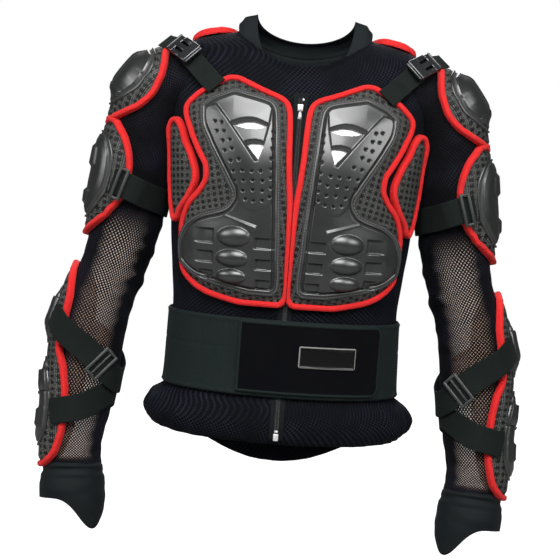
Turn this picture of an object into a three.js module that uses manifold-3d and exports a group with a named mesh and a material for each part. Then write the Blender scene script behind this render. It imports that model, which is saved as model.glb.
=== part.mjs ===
// Motocross armour jacket, worn: a hollow mesh jersey with foam pads, hard guards, straps and a waist belt.
// Millimetres, +Z up, the front faces -Y. The origin lies on the shoulder line that carries the jacket.
// Everything is modelled on the wearer's left (+X) and mirrored for the right.
import * as THREE from "three";
import { mergeVertices } from "three/addons/utils/BufferGeometryUtils.js";
import Module from "manifold-3d";

const wasm = await Module();
wasm.setup();

// Driving dimensions: the jersey
const JACKET_LENGTH = 616; // collar's top to the front hem
const SHOULDER_DROP = 40; // collar's top to the shoulder line that carries the jacket
const CHEST_HALF = 190;
const CHEST_FRONT = 118;
const CHEST_BACK = 110;
const TAIL_DROP = 73; // how far the back hem hangs below the front one
const SIDE_RISE = 5; // how far the hem rises at the sides
const CLOTH = 2;
const NECK_HALF = 100;
const NECK_FRONT = 68;
const NECK_BACK = 70;
const COLLAR_HALF = 74;
const COLLAR_FRONT = 58;
const COLLAR_BACK = 60;
const COLLAR_FRONT_DIP = 93;
const COLLAR_BACK_DIP = 24;

// Driving dimensions: the sleeves
const ARM_REACH = 105; // how far the wrist lies out from the chest's side
const ARM_FALL = 586; // sleeve's first section to the wrist
const ARM_FORWARD = 57;
const ARM_RADIUS = 54;
const CUFF_LENGTH = 46;
const CUFF_TIP = 43;

// Driving dimensions: pads, guards, straps and belt
const PAD = 7;
const PLATE = 3;
const CHEST_DOME = 6;
const GUARD_DOME = 8;
const BINDING_WIDTH = 8;
const BINDING_HEIGHT = 9.2;
const STRAP = 1.8;
const STRAP_WIDTH = 38;
const SHOULDER_STRAP_WIDTH = 30;
const ARM_LOOP_LENGTH = 16;
const STRAP_LOOP_LENGTH = 24;
const LOOP_MARGIN = 10; // how much wider a loop is than its strap
const LOOP_BAR = 4;
const LOOP_THICK = 3;
const BUCKLE_LENGTH = 46;
const BUCKLE_WIDTH = 34;
const BUCKLE_THICK = 9;
const BELT_WIDTH = 110;
const BELT_THICK = 3;
const FLAP_THICK = 3;
const PATCH_THICK = 1.2;
const ZIP_WIDTH = 20;
const ZIP_THICK = 1.5;
const PULL_LENGTH = 26;
const PULL_WIDTH = 7;
const INSERT_THICK = 0.8;
const BUMP_HALF = 22;
const BUMP_HEIGHT = 7;

// Clearances
const SEAM_GAP = 0.4; // between sewn pieces
const TAPE_GAP = 0.8; // between a pad's edge and the tape that binds it
const TAPE_SEAT = 1.3; // under the tape
const SEAT_GAP = 2; // under a pad, so that its flat facets clear the jersey's curve
const STACK_GAP = 0.5; // between layers that lie on each other
const GUARD_GAP = 1.3; // under a hard guard, whose facets and its pad's differ
const STRAP_LIFT = 2.2; // between a strap and the jersey that it crosses
const BLEND = 16; // how widely the sleeve flows into the body, for what lies on both

// Torso sections, from the shoulder ridge to the hem: shares of the length, half width, front and back depth,
// with the squareness of the oval and the share of the tail's drop.
const TORSO = [
  { down: 0.042, half: 0.48, front: 0.12, back: 0.18, square: 2.0, tail: 0 },
  { down: 0.056, half: 0.7, front: 0.24, back: 0.35, square: 2.1, tail: 0 },
  { down: 0.072, half: 0.86, front: 0.34, back: 0.5, square: 2.2, tail: 0 },
  { down: 0.092, half: 0.975, front: 0.42, back: 0.62, square: 2.4, tail: 0 },
  { down: 0.13, half: 1.025, front: 0.53, back: 0.78, square: 2.6, tail: 0 },
  { down: 0.2, half: 1.03, front: 0.71, back: 0.93, square: 2.6, tail: 0 },
  { down: 0.275, half: 1.0, front: 0.87, back: 0.99, square: 2.4, tail: 0 },
  { down: 0.37, half: 0.965, front: 0.97, back: 1.0, square: 2.3, tail: 0 },
  { down: 0.5, half: 0.945, front: 0.99, back: 0.94, square: 2.2, tail: 0 },
  { down: 0.61, half: 0.91, front: 0.94, back: 0.87, square: 2.2, tail: 0 },
  { down: 0.7, half: 0.885, front: 0.9, back: 0.84, square: 2.2, tail: 0 },
  { down: 0.8, half: 0.89, front: 0.9, back: 0.86, square: 2.2, tail: 0 },
  { down: 0.895, half: 0.905, front: 0.92, back: 0.88, square: 2.2, tail: 0 },
  { down: 0.925, half: 1.02, front: 0.99, back: 0.97, square: 2.2, tail: 0.15 },
  { down: 0.96, half: 1.07, front: 1.03, back: 1.03, square: 2.2, tail: 0.5 },
  { down: 1.0, half: 1.01, front: 1.01, back: 1.02, square: 2.2, tail: 1 },
];
const TORSO_SEGMENTS = 24;
const TAIL_NARROW = 3.5; // how quickly the tail rises away from the middle

// Sleeve sections from inside the shoulder to the wrist: shares of the reach, fall, forward swing and radius.
const ARM_START = 0.157; // the first section's height, as a share of the jacket's length
const ARM = [
  { out: -0.86, fall: -0.02, swing: 0.1, across: 0.9, deep: 0.95 },
  { out: -0.38, fall: 0.0, swing: 0.09, across: 0.98, deep: 1.02 },
  { out: -0.01, fall: 0.031, swing: 0.08, across: 0.99, deep: 1.06 },
  { out: 0.24, fall: 0.09, swing: 0.06, across: 1.0, deep: 1.08 },
  { out: 0.37, fall: 0.18, swing: 0.03, across: 0.99, deep: 1.07 },
  { out: 0.465, fall: 0.29, swing: 0.0, across: 0.99, deep: 1.06 },
  { out: 0.55, fall: 0.392, swing: 0.02, across: 0.95, deep: 1.0 },
  { out: 0.68, fall: 0.495, swing: 0.09, across: 0.9, deep: 0.94 },
  { out: 0.83, fall: 0.58, swing: 0.23, across: 0.91, deep: 0.93 },
  { out: 0.92, fall: 0.664, swing: 0.4, across: 0.94, deep: 0.94 },
  { out: 0.945, fall: 0.756, swing: 0.59, across: 0.91, deep: 0.9 },
  { out: 0.975, fall: 0.857, swing: 0.79, across: 0.82, deep: 0.82 },
  { out: 1.02, fall: 0.939, swing: 0.94, across: 0.76, deep: 0.76 },
  { out: 1.0, fall: 1.0, swing: 1.05, across: 0.77, deep: 0.75 },
];
const ARM_BACK = 0.15; // the upper arm hangs behind the middle by this share of the forward swing
const SLEEVE_SEGMENTS = 12;

// Cuff sections: shares of its length, of the wrist's radius, and of the tip's drop.
const CUFF = [
  { along: 0.0, wide: 1.0, tip: 0 },
  { along: 0.35, wide: 1.12, tip: 0 },
  { along: 0.7, wide: 1.2, tip: 0.35 },
  { along: 1.0, wide: 1.21, tip: 1 },
];
const CUFF_TIP_TURN = 140; // the tip lies in front, on the thumb's side
const CUFF_TIP_NARROW = 3;

// Chest pad, a row for each height: shares of the jacket's length, and of the chest's half width.
const CHEST_PAD = [
  { down: 0.175, inner: 0.478, outer: 0.532 },
  { down: 0.2, inner: 0.29, outer: 0.68 },
  { down: 0.223, inner: 0.121, outer: 0.774 },
  { down: 0.242, inner: 0.095, outer: 0.82 },
  { down: 0.296, inner: 0.081, outer: 0.763 },
  { down: 0.338, inner: 0.075, outer: 0.695 },
  { down: 0.372, inner: 0.067, outer: 0.636 },
  { down: 0.4, inner: 0.059, outer: 0.628 },
  { down: 0.43, inner: 0.049, outer: 0.668 },
  { down: 0.47, inner: 0.039, outer: 0.756 },
  { down: 0.515, inner: 0.034, outer: 0.79 },
  { down: 0.605, inner: 0.027, outer: 0.768 },
  { down: 0.636, inner: 0.025, outer: 0.69 },
  { down: 0.656, inner: 0.027, outer: 0.57 },
  { down: 0.672, inner: 0.05, outer: 0.34 },
];

// Hard chest plate, in the same shares.
const CHEST_PLATE = [
  { down: 0.196, inner: 0.47, outer: 0.5 },
  { down: 0.22, inner: 0.19, outer: 0.665 },
  { down: 0.24, inner: 0.145, outer: 0.728 },
  { down: 0.275, inner: 0.13, outer: 0.715 },
  { down: 0.32, inner: 0.12, outer: 0.65 },
  { down: 0.405, inner: 0.1, outer: 0.49 },
  { down: 0.435, inner: 0.094, outer: 0.445 },
  { down: 0.46, inner: 0.088, outer: 0.49 },
  { down: 0.48, inner: 0.083, outer: 0.66 },
  { down: 0.51, inner: 0.077, outer: 0.745 },
  { down: 0.55, inner: 0.07, outer: 0.772 },
  { down: 0.59, inner: 0.063, outer: 0.76 },
  { down: 0.62, inner: 0.058, outer: 0.68 },
  { down: 0.643, inner: 0.064, outer: 0.5 },
  { down: 0.657, inner: 0.11, outer: 0.27 },
];
// The two windows through the plate, and the row of raised ovals below them.
const CRESCENT = { down: 0.283, across: 0.373, wide: 0.285, tall: 0.0125 };
const WEDGE = { top: 0.324, bottom: 0.366, left: 0.245, right: 0.43, tip: 0.285 };
const BUMPS = [
  { down: 0.512, across: 0.42 },
  { down: 0.562, across: 0.42 },
  { down: 0.61, across: 0.41 },
];

const BUMP_SLIM = 0.6; // an oval's height, as a share of its width
const BUMP_RINGS = [
  { wide: 1, high: -0.25 },
  { wide: 0.95, high: 0.2 },
  { wide: 0.6, high: 0.85 },
  { wide: 0.2, high: 1 },
];

// Side pad below the armpit.
const SIDE_PAD = [
  { down: 0.274, inner: 0.905, outer: 0.93 },
  { down: 0.292, inner: 0.87, outer: 0.945 },
  { down: 0.32, inner: 0.82, outer: 0.94 },
  { down: 0.355, inner: 0.77, outer: 0.93 },
  { down: 0.4, inner: 0.745, outer: 0.92 },
  { down: 0.44, inner: 0.77, outer: 0.905 },
  { down: 0.475, inner: 0.815, outer: 0.885 },
  { down: 0.495, inner: 0.84, outer: 0.865 },
];

// Pads and guards of the sleeve. `at` counts sleeve sections; front and back are turns from its outer side.
const SHOULDER_PAD = [
  { at: 1.72, front: 30, back: 30 },
  { at: 1.92, front: 58, back: 50 },
  { at: 2.2, front: 71, back: 60 },
  { at: 2.6, front: 77, back: 66 },
  { at: 3.0, front: 72, back: 63 },
  { at: 3.25, front: 58, back: 52 },
  { at: 3.45, front: 38, back: 36 },
  { at: 3.62, front: 14, back: 14 },
];
const SHOULDER_CUP = [
  { at: 2.02, front: 44, back: 36 },
  { at: 2.12, front: 54, back: 44 },
  { at: 2.35, front: 61, back: 50 },
  { at: 2.65, front: 62, back: 51 },
  { at: 2.95, front: 55, back: 46 },
  { at: 3.14, front: 44, back: 38 },
  { at: 3.32, front: 22, back: 20 },
];
const ARM_PAD = [
  { at: 3.66, front: 42, back: 38 },
  { at: 3.95, front: 62, back: 56 },
  { at: 4.3, front: 76, back: 66 },
  { at: 4.65, front: 81, back: 71 },
  { at: 5.0, front: 81, back: 71 },
  { at: 5.35, front: 75, back: 66 },
  { at: 5.68, front: 62, back: 56 },
  { at: 6.02, front: 44, back: 40 },
  { at: 6.34, front: 13, back: 13 },
];
const ARM_GUARD = [
  { at: 3.92, front: 32, back: 30 },
  { at: 4.08, front: 46, back: 42 },
  { at: 4.4, front: 59, back: 52 },
  { at: 4.8, front: 62, back: 55 },
  { at: 5.2, front: 60, back: 53 },
  { at: 5.55, front: 50, back: 46 },
  { at: 5.85, front: 36, back: 34 },
  { at: 6.04, front: 20, back: 20 },
];
const FOREARM_PAD = [
  { at: 7.42, front: 4, back: 30 },
  { at: 7.62, front: 20, back: 50 },
  { at: 7.95, front: 35, back: 64 },
  { at: 8.4, front: 45, back: 72 },
  { at: 9.0, front: 47, back: 76 },
  { at: 9.55, front: 45, back: 75 },
  { at: 10.1, front: 57, back: 74 },
  { at: 10.7, front: 65, back: 72 },
  { at: 11.6, front: 69, back: 67 },
  { at: 12.35, front: 59, back: 54 },
  { at: 12.8, front: 32, back: 30 },
];
const ELBOW_CUP = [
  { at: 7.95, front: -6, back: 44 },
  { at: 8.12, front: 6, back: 54 },
  { at: 8.45, front: 14, back: 60 },
  { at: 8.9, front: 18, back: 60 },
  { at: 9.25, front: 12, back: 54 },
  { at: 9.42, front: 2, back: 44 },
];
const FOREARM_GUARD = [
  { at: 9.82, front: 6, back: 42 },
  { at: 10.0, front: 22, back: 50 },
  { at: 10.4, front: 35, back: 54 },
  { at: 11.0, front: 43, back: 54 },
  { at: 11.6, front: 44, back: 50 },
  { at: 12.05, front: 32, back: 40 },
  { at: 12.25, front: 14, back: 24 },
];

// Straps round the sleeve: the place along it at each turn. Rise 0 lies on the jersey, 1 on a pad's tape.
const ARM_STRAP = [
  { turn: 67, at: 4.95, rise: 1 },
  { turn: 79, at: 4.98, rise: 1 },
  { turn: 92, at: 5.02, rise: 1.15 },
  { turn: 104, at: 5.08, rise: 1 },
  { turn: 120, at: 5.15, rise: 0.3 },
  { turn: 140, at: 5.2, rise: 0 },
  { turn: 160, at: 5.25, rise: 0 },
  { turn: 180, at: 5.27, rise: 0 },
  { turn: 200, at: 5.25, rise: 0 },
  { turn: 220, at: 5.2, rise: 0 },
  { turn: 240, at: 5.13, rise: 0 },
  { turn: 258, at: 5.07, rise: 0.5 },
  { turn: 274, at: 5.02, rise: 1 },
  { turn: 287, at: 4.98, rise: 1 },
  { turn: 299, at: 4.95, rise: 1 },
];
const ELBOW_STRAP = [
  { turn: 26, at: 8.78, rise: 1 },
  { turn: 44, at: 8.94, rise: 1 },
  { turn: 60, at: 9.14, rise: 1.12 },
  { turn: 80, at: 9.38, rise: 0.75 },
  { turn: 100, at: 9.64, rise: 0.35 },
  { turn: 120, at: 9.9, rise: 0.3 },
  { turn: 140, at: 10.12, rise: 0.38 },
  { turn: 160, at: 10.22, rise: 0.38 },
  { turn: 180, at: 10.2, rise: 0.38 },
  { turn: 200, at: 10.05, rise: 0.38 },
  { turn: 220, at: 9.8, rise: 0.3 },
  { turn: 240, at: 9.5, rise: 0.3 },
  { turn: 258, at: 9.2, rise: 0.6 },
  { turn: 274, at: 9.0, rise: 1 },
  { turn: 290, at: 8.85, rise: 1 },
];
const WRIST_STRAP = [
  { turn: 51, at: 11.2, rise: 1 },
  { turn: 62, at: 11.16, rise: 1 },
  { turn: 74, at: 11.1, rise: 1 },
  { turn: 88, at: 11.02, rise: 1 },
  { turn: 104, at: 10.92, rise: 0.5 },
  { turn: 120, at: 10.78, rise: 0 },
  { turn: 140, at: 10.62, rise: 0 },
  { turn: 160, at: 10.52, rise: 0 },
  { turn: 180, at: 10.5, rise: 0 },
  { turn: 200, at: 10.54, rise: 0 },
  { turn: 220, at: 10.62, rise: 0 },
  { turn: 240, at: 10.72, rise: 0.2 },
  { turn: 258, at: 10.82, rise: 1 },
  { turn: 274, at: 10.88, rise: 1 },
  { turn: 292, at: 10.92, rise: 1 },
];

// Shoulder strap, from the chest pad's top corner over the jersey to the shoulder pad.
const SHOULDER_STRAP = [
  { across: 0.62, down: 0.196, rise: 1 },
  { across: 0.7, down: 0.172, rise: 0.9 },
  { turn: 84, at: 0.9, rise: 0.2 },
  { turn: 68, at: 1.04, rise: 0 },
  { turn: 50, at: 1.22, rise: 0.05 },
  { turn: 34, at: 1.42, rise: 0.4 },
  { turn: 20, at: 1.62, rise: 1.15 },
];

// Back pad, a column for each place across: shares of the half width, and drops from the shoulder's ridge.
const SHOULDER_TURN = 60; // radius of the quarter turn over the ridge
const BACK_PAD = [
  { across: 0, top: 0.125, bottom: 0.655 },
  { across: 0.22, top: 0.12, bottom: 0.655 },
  { across: 0.42, top: 0.09, bottom: 0.64 },
  { across: 0.54, top: 0.05, bottom: 0.6 },
  { across: 0.66, top: 0.012, bottom: 0.52 },
  { across: 0.76, top: 0.016, bottom: 0.42 },
  { across: 0.84, top: 0.045, bottom: 0.34 },
];
const BACK_ROWS = [0, 0.07, 0.14, 0.22, 0.32, 0.48, 0.65, 0.83, 1];
const SPINE_PLATES = 5;

const RADIANS = Math.PI / 180;
const point = (x, y, z) => new THREE.Vector3(x, y, z);
const clamp = (value, low, high) => Math.min(high, Math.max(low, value));
const smooth = (value) => value * value * (3 - 2 * value);

// Solids and geometries

// A closed mesh as a manifold solid, turned the right way out.
function solidFrom(points, faces) {
  const position = new Float32Array(points.flatMap((p) => [p.x, p.y, p.z]));
  const geometry = new THREE.BufferGeometry();
  geometry.setAttribute("position", new THREE.BufferAttribute(position, 3));
  geometry.setIndex(faces);
  const merged = mergeVertices(geometry, 1e-3);
  const corners = merged.index.array;
  const kept = [];
  for (let i = 0; i < corners.length; i += 3) {
    const [a, b, c] = [corners[i], corners[i + 1], corners[i + 2]];
    if (a !== b && b !== c && c !== a) kept.push(a, b, c);
  }
  const make = (order) =>
    new wasm.Manifold(
      new wasm.Mesh({
        numProp: 3,
        vertProperties: merged.attributes.position.array,
        triVerts: new Uint32Array(order),
      }),
    );
  const made = make(kept);
  if (made.volume() >= 0) return made;
  const turned = kept.map((corner, i) => (i % 3 === 1 ? kept[i + 1] : i % 3 === 2 ? kept[i - 1] : corner));
  return make(turned);
}

// The largest body of a solid, as a geometry for a mesh.
function geometryOf(solid) {
  const bodies = solid.decompose().sort((a, b) => b.volume() - a.volume());
  const mesh = bodies[0].getMesh();
  const position = new Float32Array(mesh.numVert * 3);
  for (let i = 0; i < mesh.numVert; i++) {
    position.set(mesh.vertProperties.subarray(i * mesh.numProp, i * mesh.numProp + 3), i * 3);
  }
  const geometry = new THREE.BufferGeometry();
  geometry.setAttribute("position", new THREE.BufferAttribute(position, 3));
  geometry.setIndex(new THREE.BufferAttribute(mesh.triVerts, 1));
  geometry.computeVertexNormals();
  return geometry;
}

// The body between two grids of points. Ringed grids close on themselves across; open ones get side walls.
function bodyBetween(top, bottom, ringed = false) {
  const rows = top.length;
  const columns = top[0].length;
  const under = rows * columns;
  const span = ringed ? columns : columns - 1;
  const faces = [];
  const at = (r, c) => r * columns + (c % columns);
  const quad = (a, b, c, d) => faces.push(a, b, c, a, c, d);
  for (let r = 0; r < rows - 1; r++) {
    for (let c = 0; c < span; c++) {
      quad(at(r, c), at(r, c + 1), at(r + 1, c + 1), at(r + 1, c));
      quad(under + at(r, c), under + at(r + 1, c), under + at(r + 1, c + 1), under + at(r, c + 1));
    }
    if (!ringed) {
      quad(at(r, 0), at(r + 1, 0), under + at(r + 1, 0), under + at(r, 0));
      const last = columns - 1;
      quad(at(r, last), under + at(r, last), under + at(r + 1, last), at(r + 1, last));
    }
  }
  const end = rows - 1;
  for (let c = 0; c < span; c++) {
    quad(at(0, c), under + at(0, c), under + at(0, c + 1), at(0, c + 1));
    quad(at(end, c), at(end, c + 1), under + at(end, c + 1), under + at(end, c));
  }
  return solidFrom([...top.flat(), ...bottom.flat()], faces);
}

// A solid through closed rings of points, with flat ends.
function loft(rings) {
  const columns = rings[0].length;
  const faces = [];
  for (let r = 0; r < rings.length - 1; r++) {
    for (let c = 0; c < columns; c++) {
      const next = (c + 1) % columns;
      const [a, b] = [r * columns + c, r * columns + next];
      // Both halves of a symmetric body split their quads as mirror images
      if (rings[r][c].x + rings[r][next].x < 0) faces.push(a, b, a + columns, b, b + columns, a + columns);
      else faces.push(a, b, b + columns, a, b + columns, a + columns);
    }
  }
  const last = (rings.length - 1) * columns;
  const middles = [rings[0], rings[rings.length - 1]].map((ring) =>
    ring.reduce((sum, p) => sum.add(p), point(0, 0, 0)).divideScalar(columns),
  );
  const [first, final] = [rings.length * columns, rings.length * columns + 1];
  for (let c = 0; c < columns; c++) {
    const next = (c + 1) % columns;
    faces.push(first, next, c, final, last + c, last + next);
  }
  return solidFrom([...rings.flat(), ...middles], faces);
}

// The torso

// The values of a table's row at a place between its rows.
function between(table, share) {
  const index = clamp(Math.floor(share), 0, table.length - 2);
  const part = share - index;
  const [a, b] = [table[index], table[index + 1]];
  return Object.fromEntries(Object.keys(a).map((key) => [key, a[key] + (b[key] - a[key]) * part]));
}

// The torso's section at a height, in millimetres. Heights here count down from the collar's top.
function torsoSection(z) {
  const down = clamp(-z / JACKET_LENGTH, TORSO[0].down, TORSO[TORSO.length - 1].down);
  let index = 0;
  while (index < TORSO.length - 2 && TORSO[index + 1].down < down) index++;
  const part = (down - TORSO[index].down) / (TORSO[index + 1].down - TORSO[index].down);
  const row = between(TORSO, index + part);
  return {
    half: row.half * CHEST_HALF,
    front: row.front * CHEST_FRONT,
    back: row.back * CHEST_BACK,
    square: row.square,
    tail: row.tail,
  };
}

// A point of the torso at a turn, which is 0 at the wearer's left side and 90 in front.
function torsoPoint(turn, z, grow = 0) {
  const section = torsoSection(z);
  const [c, s] = [Math.cos(turn * RADIANS), Math.sin(turn * RADIANS)];
  const depth = (s > 0 ? section.front : section.back) + grow;
  const power = 2 / section.square;
  return point(
    (section.half + grow) * Math.sign(c) * Math.abs(c) ** power,
    -depth * Math.sign(s) * Math.abs(s) ** power,
    z,
  );
}

// The torso's turn at a place across the front.
function turnAcross(x, z) {
  const section = torsoSection(z);
  const share = clamp(Math.abs(x) / section.half, 0, 0.995);
  const turn = Math.acos(share ** (section.square / 2)) / RADIANS;
  return x < 0 ? 180 - turn : turn;
}

function torsoRings(grow, extend) {
  const rings = TORSO.map((row) => {
    const z = -row.down * JACKET_LENGTH;
    return Array.from({ length: TORSO_SEGMENTS }, (_, i) => {
      const turn = (i * 360) / TORSO_SEGMENTS;
      const behind = Math.max(0, -Math.sin(turn * RADIANS));
      const aside = Math.abs(Math.cos(turn * RADIANS));
      const placed = torsoPoint(turn, z, grow);
      placed.z += grow + row.tail * (SIDE_RISE * aside ** 4 - TAIL_DROP * behind ** TAIL_NARROW);
      return placed;
    });
  });
  if (extend) rings.push(rings[rings.length - 1].map((p) => p.clone().setZ(p.z - extend)));
  return rings;
}

// The sleeve

// The sleeve's centre line is a curve through its sections.
const armCentres = ARM.map((row) =>
  point(
    CHEST_HALF + row.out * ARM_REACH,
    (ARM_BACK - row.swing) * ARM_FORWARD,
    -ARM_START * JACKET_LENGTH - row.fall * ARM_FALL,
  ),
);
const armLine = new THREE.CatmullRomCurve3(armCentres, false, "centripetal");

// The sleeve's section at a place along it: its centre, its outward and forward directions, and its two radii.
function armSection(at) {
  const share = clamp(at / (ARM.length - 1), 0, 1);
  const centre = armLine.getPoint(share);
  const along = armLine.getTangent(share);
  const past = at - share * (ARM.length - 1);
  centre.addScaledVector(along, past * ARM_RADIUS);
  const row = between(ARM, clamp(at, 0, ARM.length - 1));
  const out = point(1, 0, 0).addScaledVector(along, -along.x).normalize();
  const ahead = new THREE.Vector3().crossVectors(along, out).normalize();
  if (ahead.y > 0) ahead.negate();
  return { centre, along, out, ahead, across: row.across * ARM_RADIUS, deep: row.deep * ARM_RADIUS };
}

// A point of the sleeve at a turn, which is 0 on its outer side and 90 in front.
function armPoint(turn, at, grow = 0) {
  const section = armSection(at);
  return section.centre
    .clone()
    .addScaledVector(section.out, Math.cos(turn * RADIANS) * (section.across + grow))
    .addScaledVector(section.ahead, Math.sin(turn * RADIANS) * (section.deep + grow));
}

function armRings(grow, first, last) {
  const places = [first, ...ARM.keys(), last].filter((at) => at >= first && at <= last);
  return [...new Set(places)].map((at) =>
    Array.from({ length: SLEEVE_SEGMENTS }, (_, i) => armPoint((i * 360) / SLEEVE_SEGMENTS, at, grow)),
  );
}

// Landing pieces on the body

// About how far a point lies outside the torso, and outside the sleeve.
function torsoReach(p) {
  const top = -TORSO[0].down * JACKET_LENGTH;
  const section = torsoSection(p.z);
  const depth = p.y < 0 ? section.front : section.back;
  const power = section.square;
  const ratio = ((Math.abs(p.x) / section.half) ** power + (Math.abs(p.y) / depth) ** power) ** (1 / power);
  const reach = Math.hypot(p.x, p.y) * (1 - 1 / Math.max(ratio, 0.05));
  return p.z > top ? Math.hypot(Math.max(reach, 0), p.z - top) : reach;
}

const ARM_SAMPLES = 6;
const armSampleCount = (ARM.length - 1) * ARM_SAMPLES + 1;
const armSamples = Array.from({ length: armSampleCount }, (_, i) => armSection(i / ARM_SAMPLES));

function sleeveReach(p) {
  let nearest = 0;
  let least = Infinity;
  armSamples.forEach((section, i) => {
    const distance = section.centre.distanceToSquared(p);
    if (distance < least) [least, nearest] = [distance, i];
  });
  const section = armSamples[nearest];
  const offset = p.clone().sub(section.centre);
  const shift = offset.dot(section.along);
  const exact = armSection(nearest / ARM_SAMPLES + clamp(shift / ARM_RADIUS, -0.5, 0.5) / ARM_SAMPLES);
  offset.copy(p).sub(exact.centre);
  const [a, b] = [offset.dot(exact.out), offset.dot(exact.ahead)];
  const ratio = Math.hypot(a / exact.across, b / exact.deep);
  return Math.hypot(a, b) * (1 - 1 / Math.max(ratio, 0.05));
}

const PROBE = 0.5;
function slopeOf(reach, p) {
  const slope = point(0, 0, 0);
  for (const axis of ["x", "y", "z"]) {
    const [low, high] = [p.clone(), p.clone()];
    low[axis] -= PROBE;
    high[axis] += PROBE;
    slope[axis] = (reach(high) - reach(low)) / (2 * PROBE);
  }
  return slope;
}

// How far a point lies outside torso and sleeve together, with a soft hollow where they meet.
function bodyReach(p) {
  const mirrored = point(Math.abs(p.x), p.y, p.z);
  const [torso, sleeve] = [torsoReach, sleeveReach].map(
    (reach) => reach(mirrored) / Math.max(slopeOf(reach, mirrored).length(), 0.35),
  );
  const share = clamp(0.5 + (0.5 * (sleeve - torso)) / BLEND, 0, 1);
  return sleeve + (torso - sleeve) * share - BLEND * share * (1 - share);
}

const LANDING_STEPS = 40;
// The place where a line towards the body meets it, with the surface's outward direction.
function land(from, towards) {
  const way = towards.clone().sub(from).normalize();
  const place = from.clone();
  for (let i = 0; i < LANDING_STEPS; i++) {
    const left = bodyReach(place);
    place.addScaledVector(way, clamp(left, -8, 20) * 0.7);
    if (Math.abs(left) < 0.02) break;
  }
  return { place, out: slopeOf(bodyReach, place).normalize() };
}

const APPROACH = 60; // how far outside the body a landing starts
// Places on the body named in the torso's turns and heights, in the sleeve's, or on the back.
function onTorso(turn, z) {
  const inside = torsoPoint(turn, z, -20);
  const outside = torsoPoint(turn, z, APPROACH);
  return land(outside, inside);
}
const onFront = (x, z) => onTorso(turnAcross(x, z), z);
const onSleeve = (turn, at) => land(armPoint(turn, at, APPROACH), armPoint(turn, at, -20));
// A place on the sleeve alone, for what goes round it inside the armpit.
function roundSleeve(turn, at) {
  const along = armPoint(turn, at + 0.2).sub(armPoint(turn, at - 0.2));
  const round = armPoint(turn + 3, at).sub(armPoint(turn - 3, at));
  return { place: armPoint(turn, at), out: round.cross(along).normalize() };
}
function onBack(x, drop) {
  const ridge = -TORSO[0].down * JACKET_LENGTH - SHOULDER_TURN;
  const quarter = (Math.PI / 2) * SHOULDER_TURN;
  const aim = point(x, 0, ridge - Math.max(0, drop - quarter));
  const lift = clamp(1 - drop / quarter, 0, 1) * (Math.PI / 2);
  const way = point(0, Math.cos(lift), Math.sin(lift));
  return land(aim.clone().addScaledVector(way, CHEST_BACK + APPROACH), aim);
}

// Pads, plates and tapes

const raised = (spot, height) => spot.place.clone().addScaledVector(spot.out, height);

// A padded or moulded sheet over a grid of places: its underside at one height, its top at another.
function sheet(spots, low, high) {
  const grid = (height) =>
    spots.map((row, r) =>
      row.map((spot, c) => raised(spot, height(r / (spots.length - 1), c / (row.length - 1)))),
    );
  return bodyBetween(grid(high), grid(low));
}

const flat = (height) => () => height;
const even = (count) => Array.from({ length: count }, (_, i) => i / (count - 1));

// The grid of places of a front piece, given its table.
const frontGrid = (table, columns, inner = (row) => row.inner) =>
  table.map((row) =>
    even(columns).map((share) => {
      const across = (inner(row) + (row.outer - inner(row)) * share) * CHEST_HALF;
      return onFront(across, -row.down * JACKET_LENGTH);
    }),
  );

// The grid of places of a sleeve piece: turns run from its front edge, round the outer side, to its back edge.
const sleeveGrid = (table, columns) =>
  table.map((row) =>
    even(columns).map((share) => onSleeve(row.front - (row.front + row.back) * share, row.at)),
  );

// The open edge of a grid as one loop of places.
function edgeOf(spots) {
  const last = spots.length - 1;
  return [
    ...spots[0],
    ...spots.slice(1, last).map((row) => row[row.length - 1]),
    ...[...spots[last]].reverse(),
    ...spots.slice(1, last).reverse().map((row) => row[0]),
  ];
}

// The loop's outward direction at each of its places, lengthened at corners so that offsets keep their width.
function outwardOf(loop) {
  const count = loop.length;
  const middle = loop.reduce((sum, spot) => sum.add(spot.place), point(0, 0, 0)).divideScalar(count);
  const side = (from, to, out) => to.place.clone().sub(from.place).cross(out).normalize();
  const ways = loop.map((spot, i) => {
    const before = side(loop[(i + count - 1) % count], spot, spot.out);
    const after = side(spot, loop[(i + 1) % count], spot.out);
    const way = before.clone().add(after).normalize();
    return way.divideScalar(Math.max(way.dot(before), 0.6));
  });
  const sense = Math.sign(loop.reduce((sum, s, i) => sum + ways[i].dot(s.place.clone().sub(middle)), 0));
  return ways.map((way) => way.multiplyScalar(sense));
}

// The same places with the edge moved outward.
function spread(spots, by) {
  const loop = edgeOf(spots);
  const ways = outwardOf(loop);
  const moved = new Map(loop.map((spot, i) => [spot, spot.place.clone().addScaledVector(ways[i], by)]));
  return spots.map((row) =>
    row.map((spot) => (moved.has(spot) ? { ...spot, place: moved.get(spot) } : spot)),
  );
}

// The tape that binds a pad's edge: a raised band just outside the loop, no wider than `room` allows.
function binding(spots, room = () => BINDING_WIDTH, margin = 0) {
  const loop = edgeOf(spots);
  const ways = outwardOf(loop);
  const line = (share, height) =>
    loop.map((spot, i) => {
      const width = Math.min(BINDING_WIDTH, room(spot.place));
      const step = TAPE_GAP - margin + share * (width - TAPE_GAP + 2 * margin);
      return raised(spot, height).addScaledVector(ways[i], step);
    });
  const foot = TAPE_SEAT - margin * 3;
  const head = TAPE_SEAT + BINDING_HEIGHT + margin;
  const crest = TAPE_SEAT + BINDING_HEIGHT * 0.8 + margin;
  return bodyBetween([line(0, head), line(1, crest)], [line(0, foot), line(1, foot)], true);
}

// A strap over a list of places: `along` gives the strap's own direction across its width at each.
function tape(stations, width, thick, margin = 0) {
  const across = [-1, 1].map((side) => side * (width / 2 + margin));
  const grid = (lift) =>
    stations.map((station) =>
      across.map((reach) => raised(station, station.rise + lift).addScaledVector(station.wide, reach)),
    );
  return bodyBetween(grid(thick + margin), grid(-margin));
}

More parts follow.
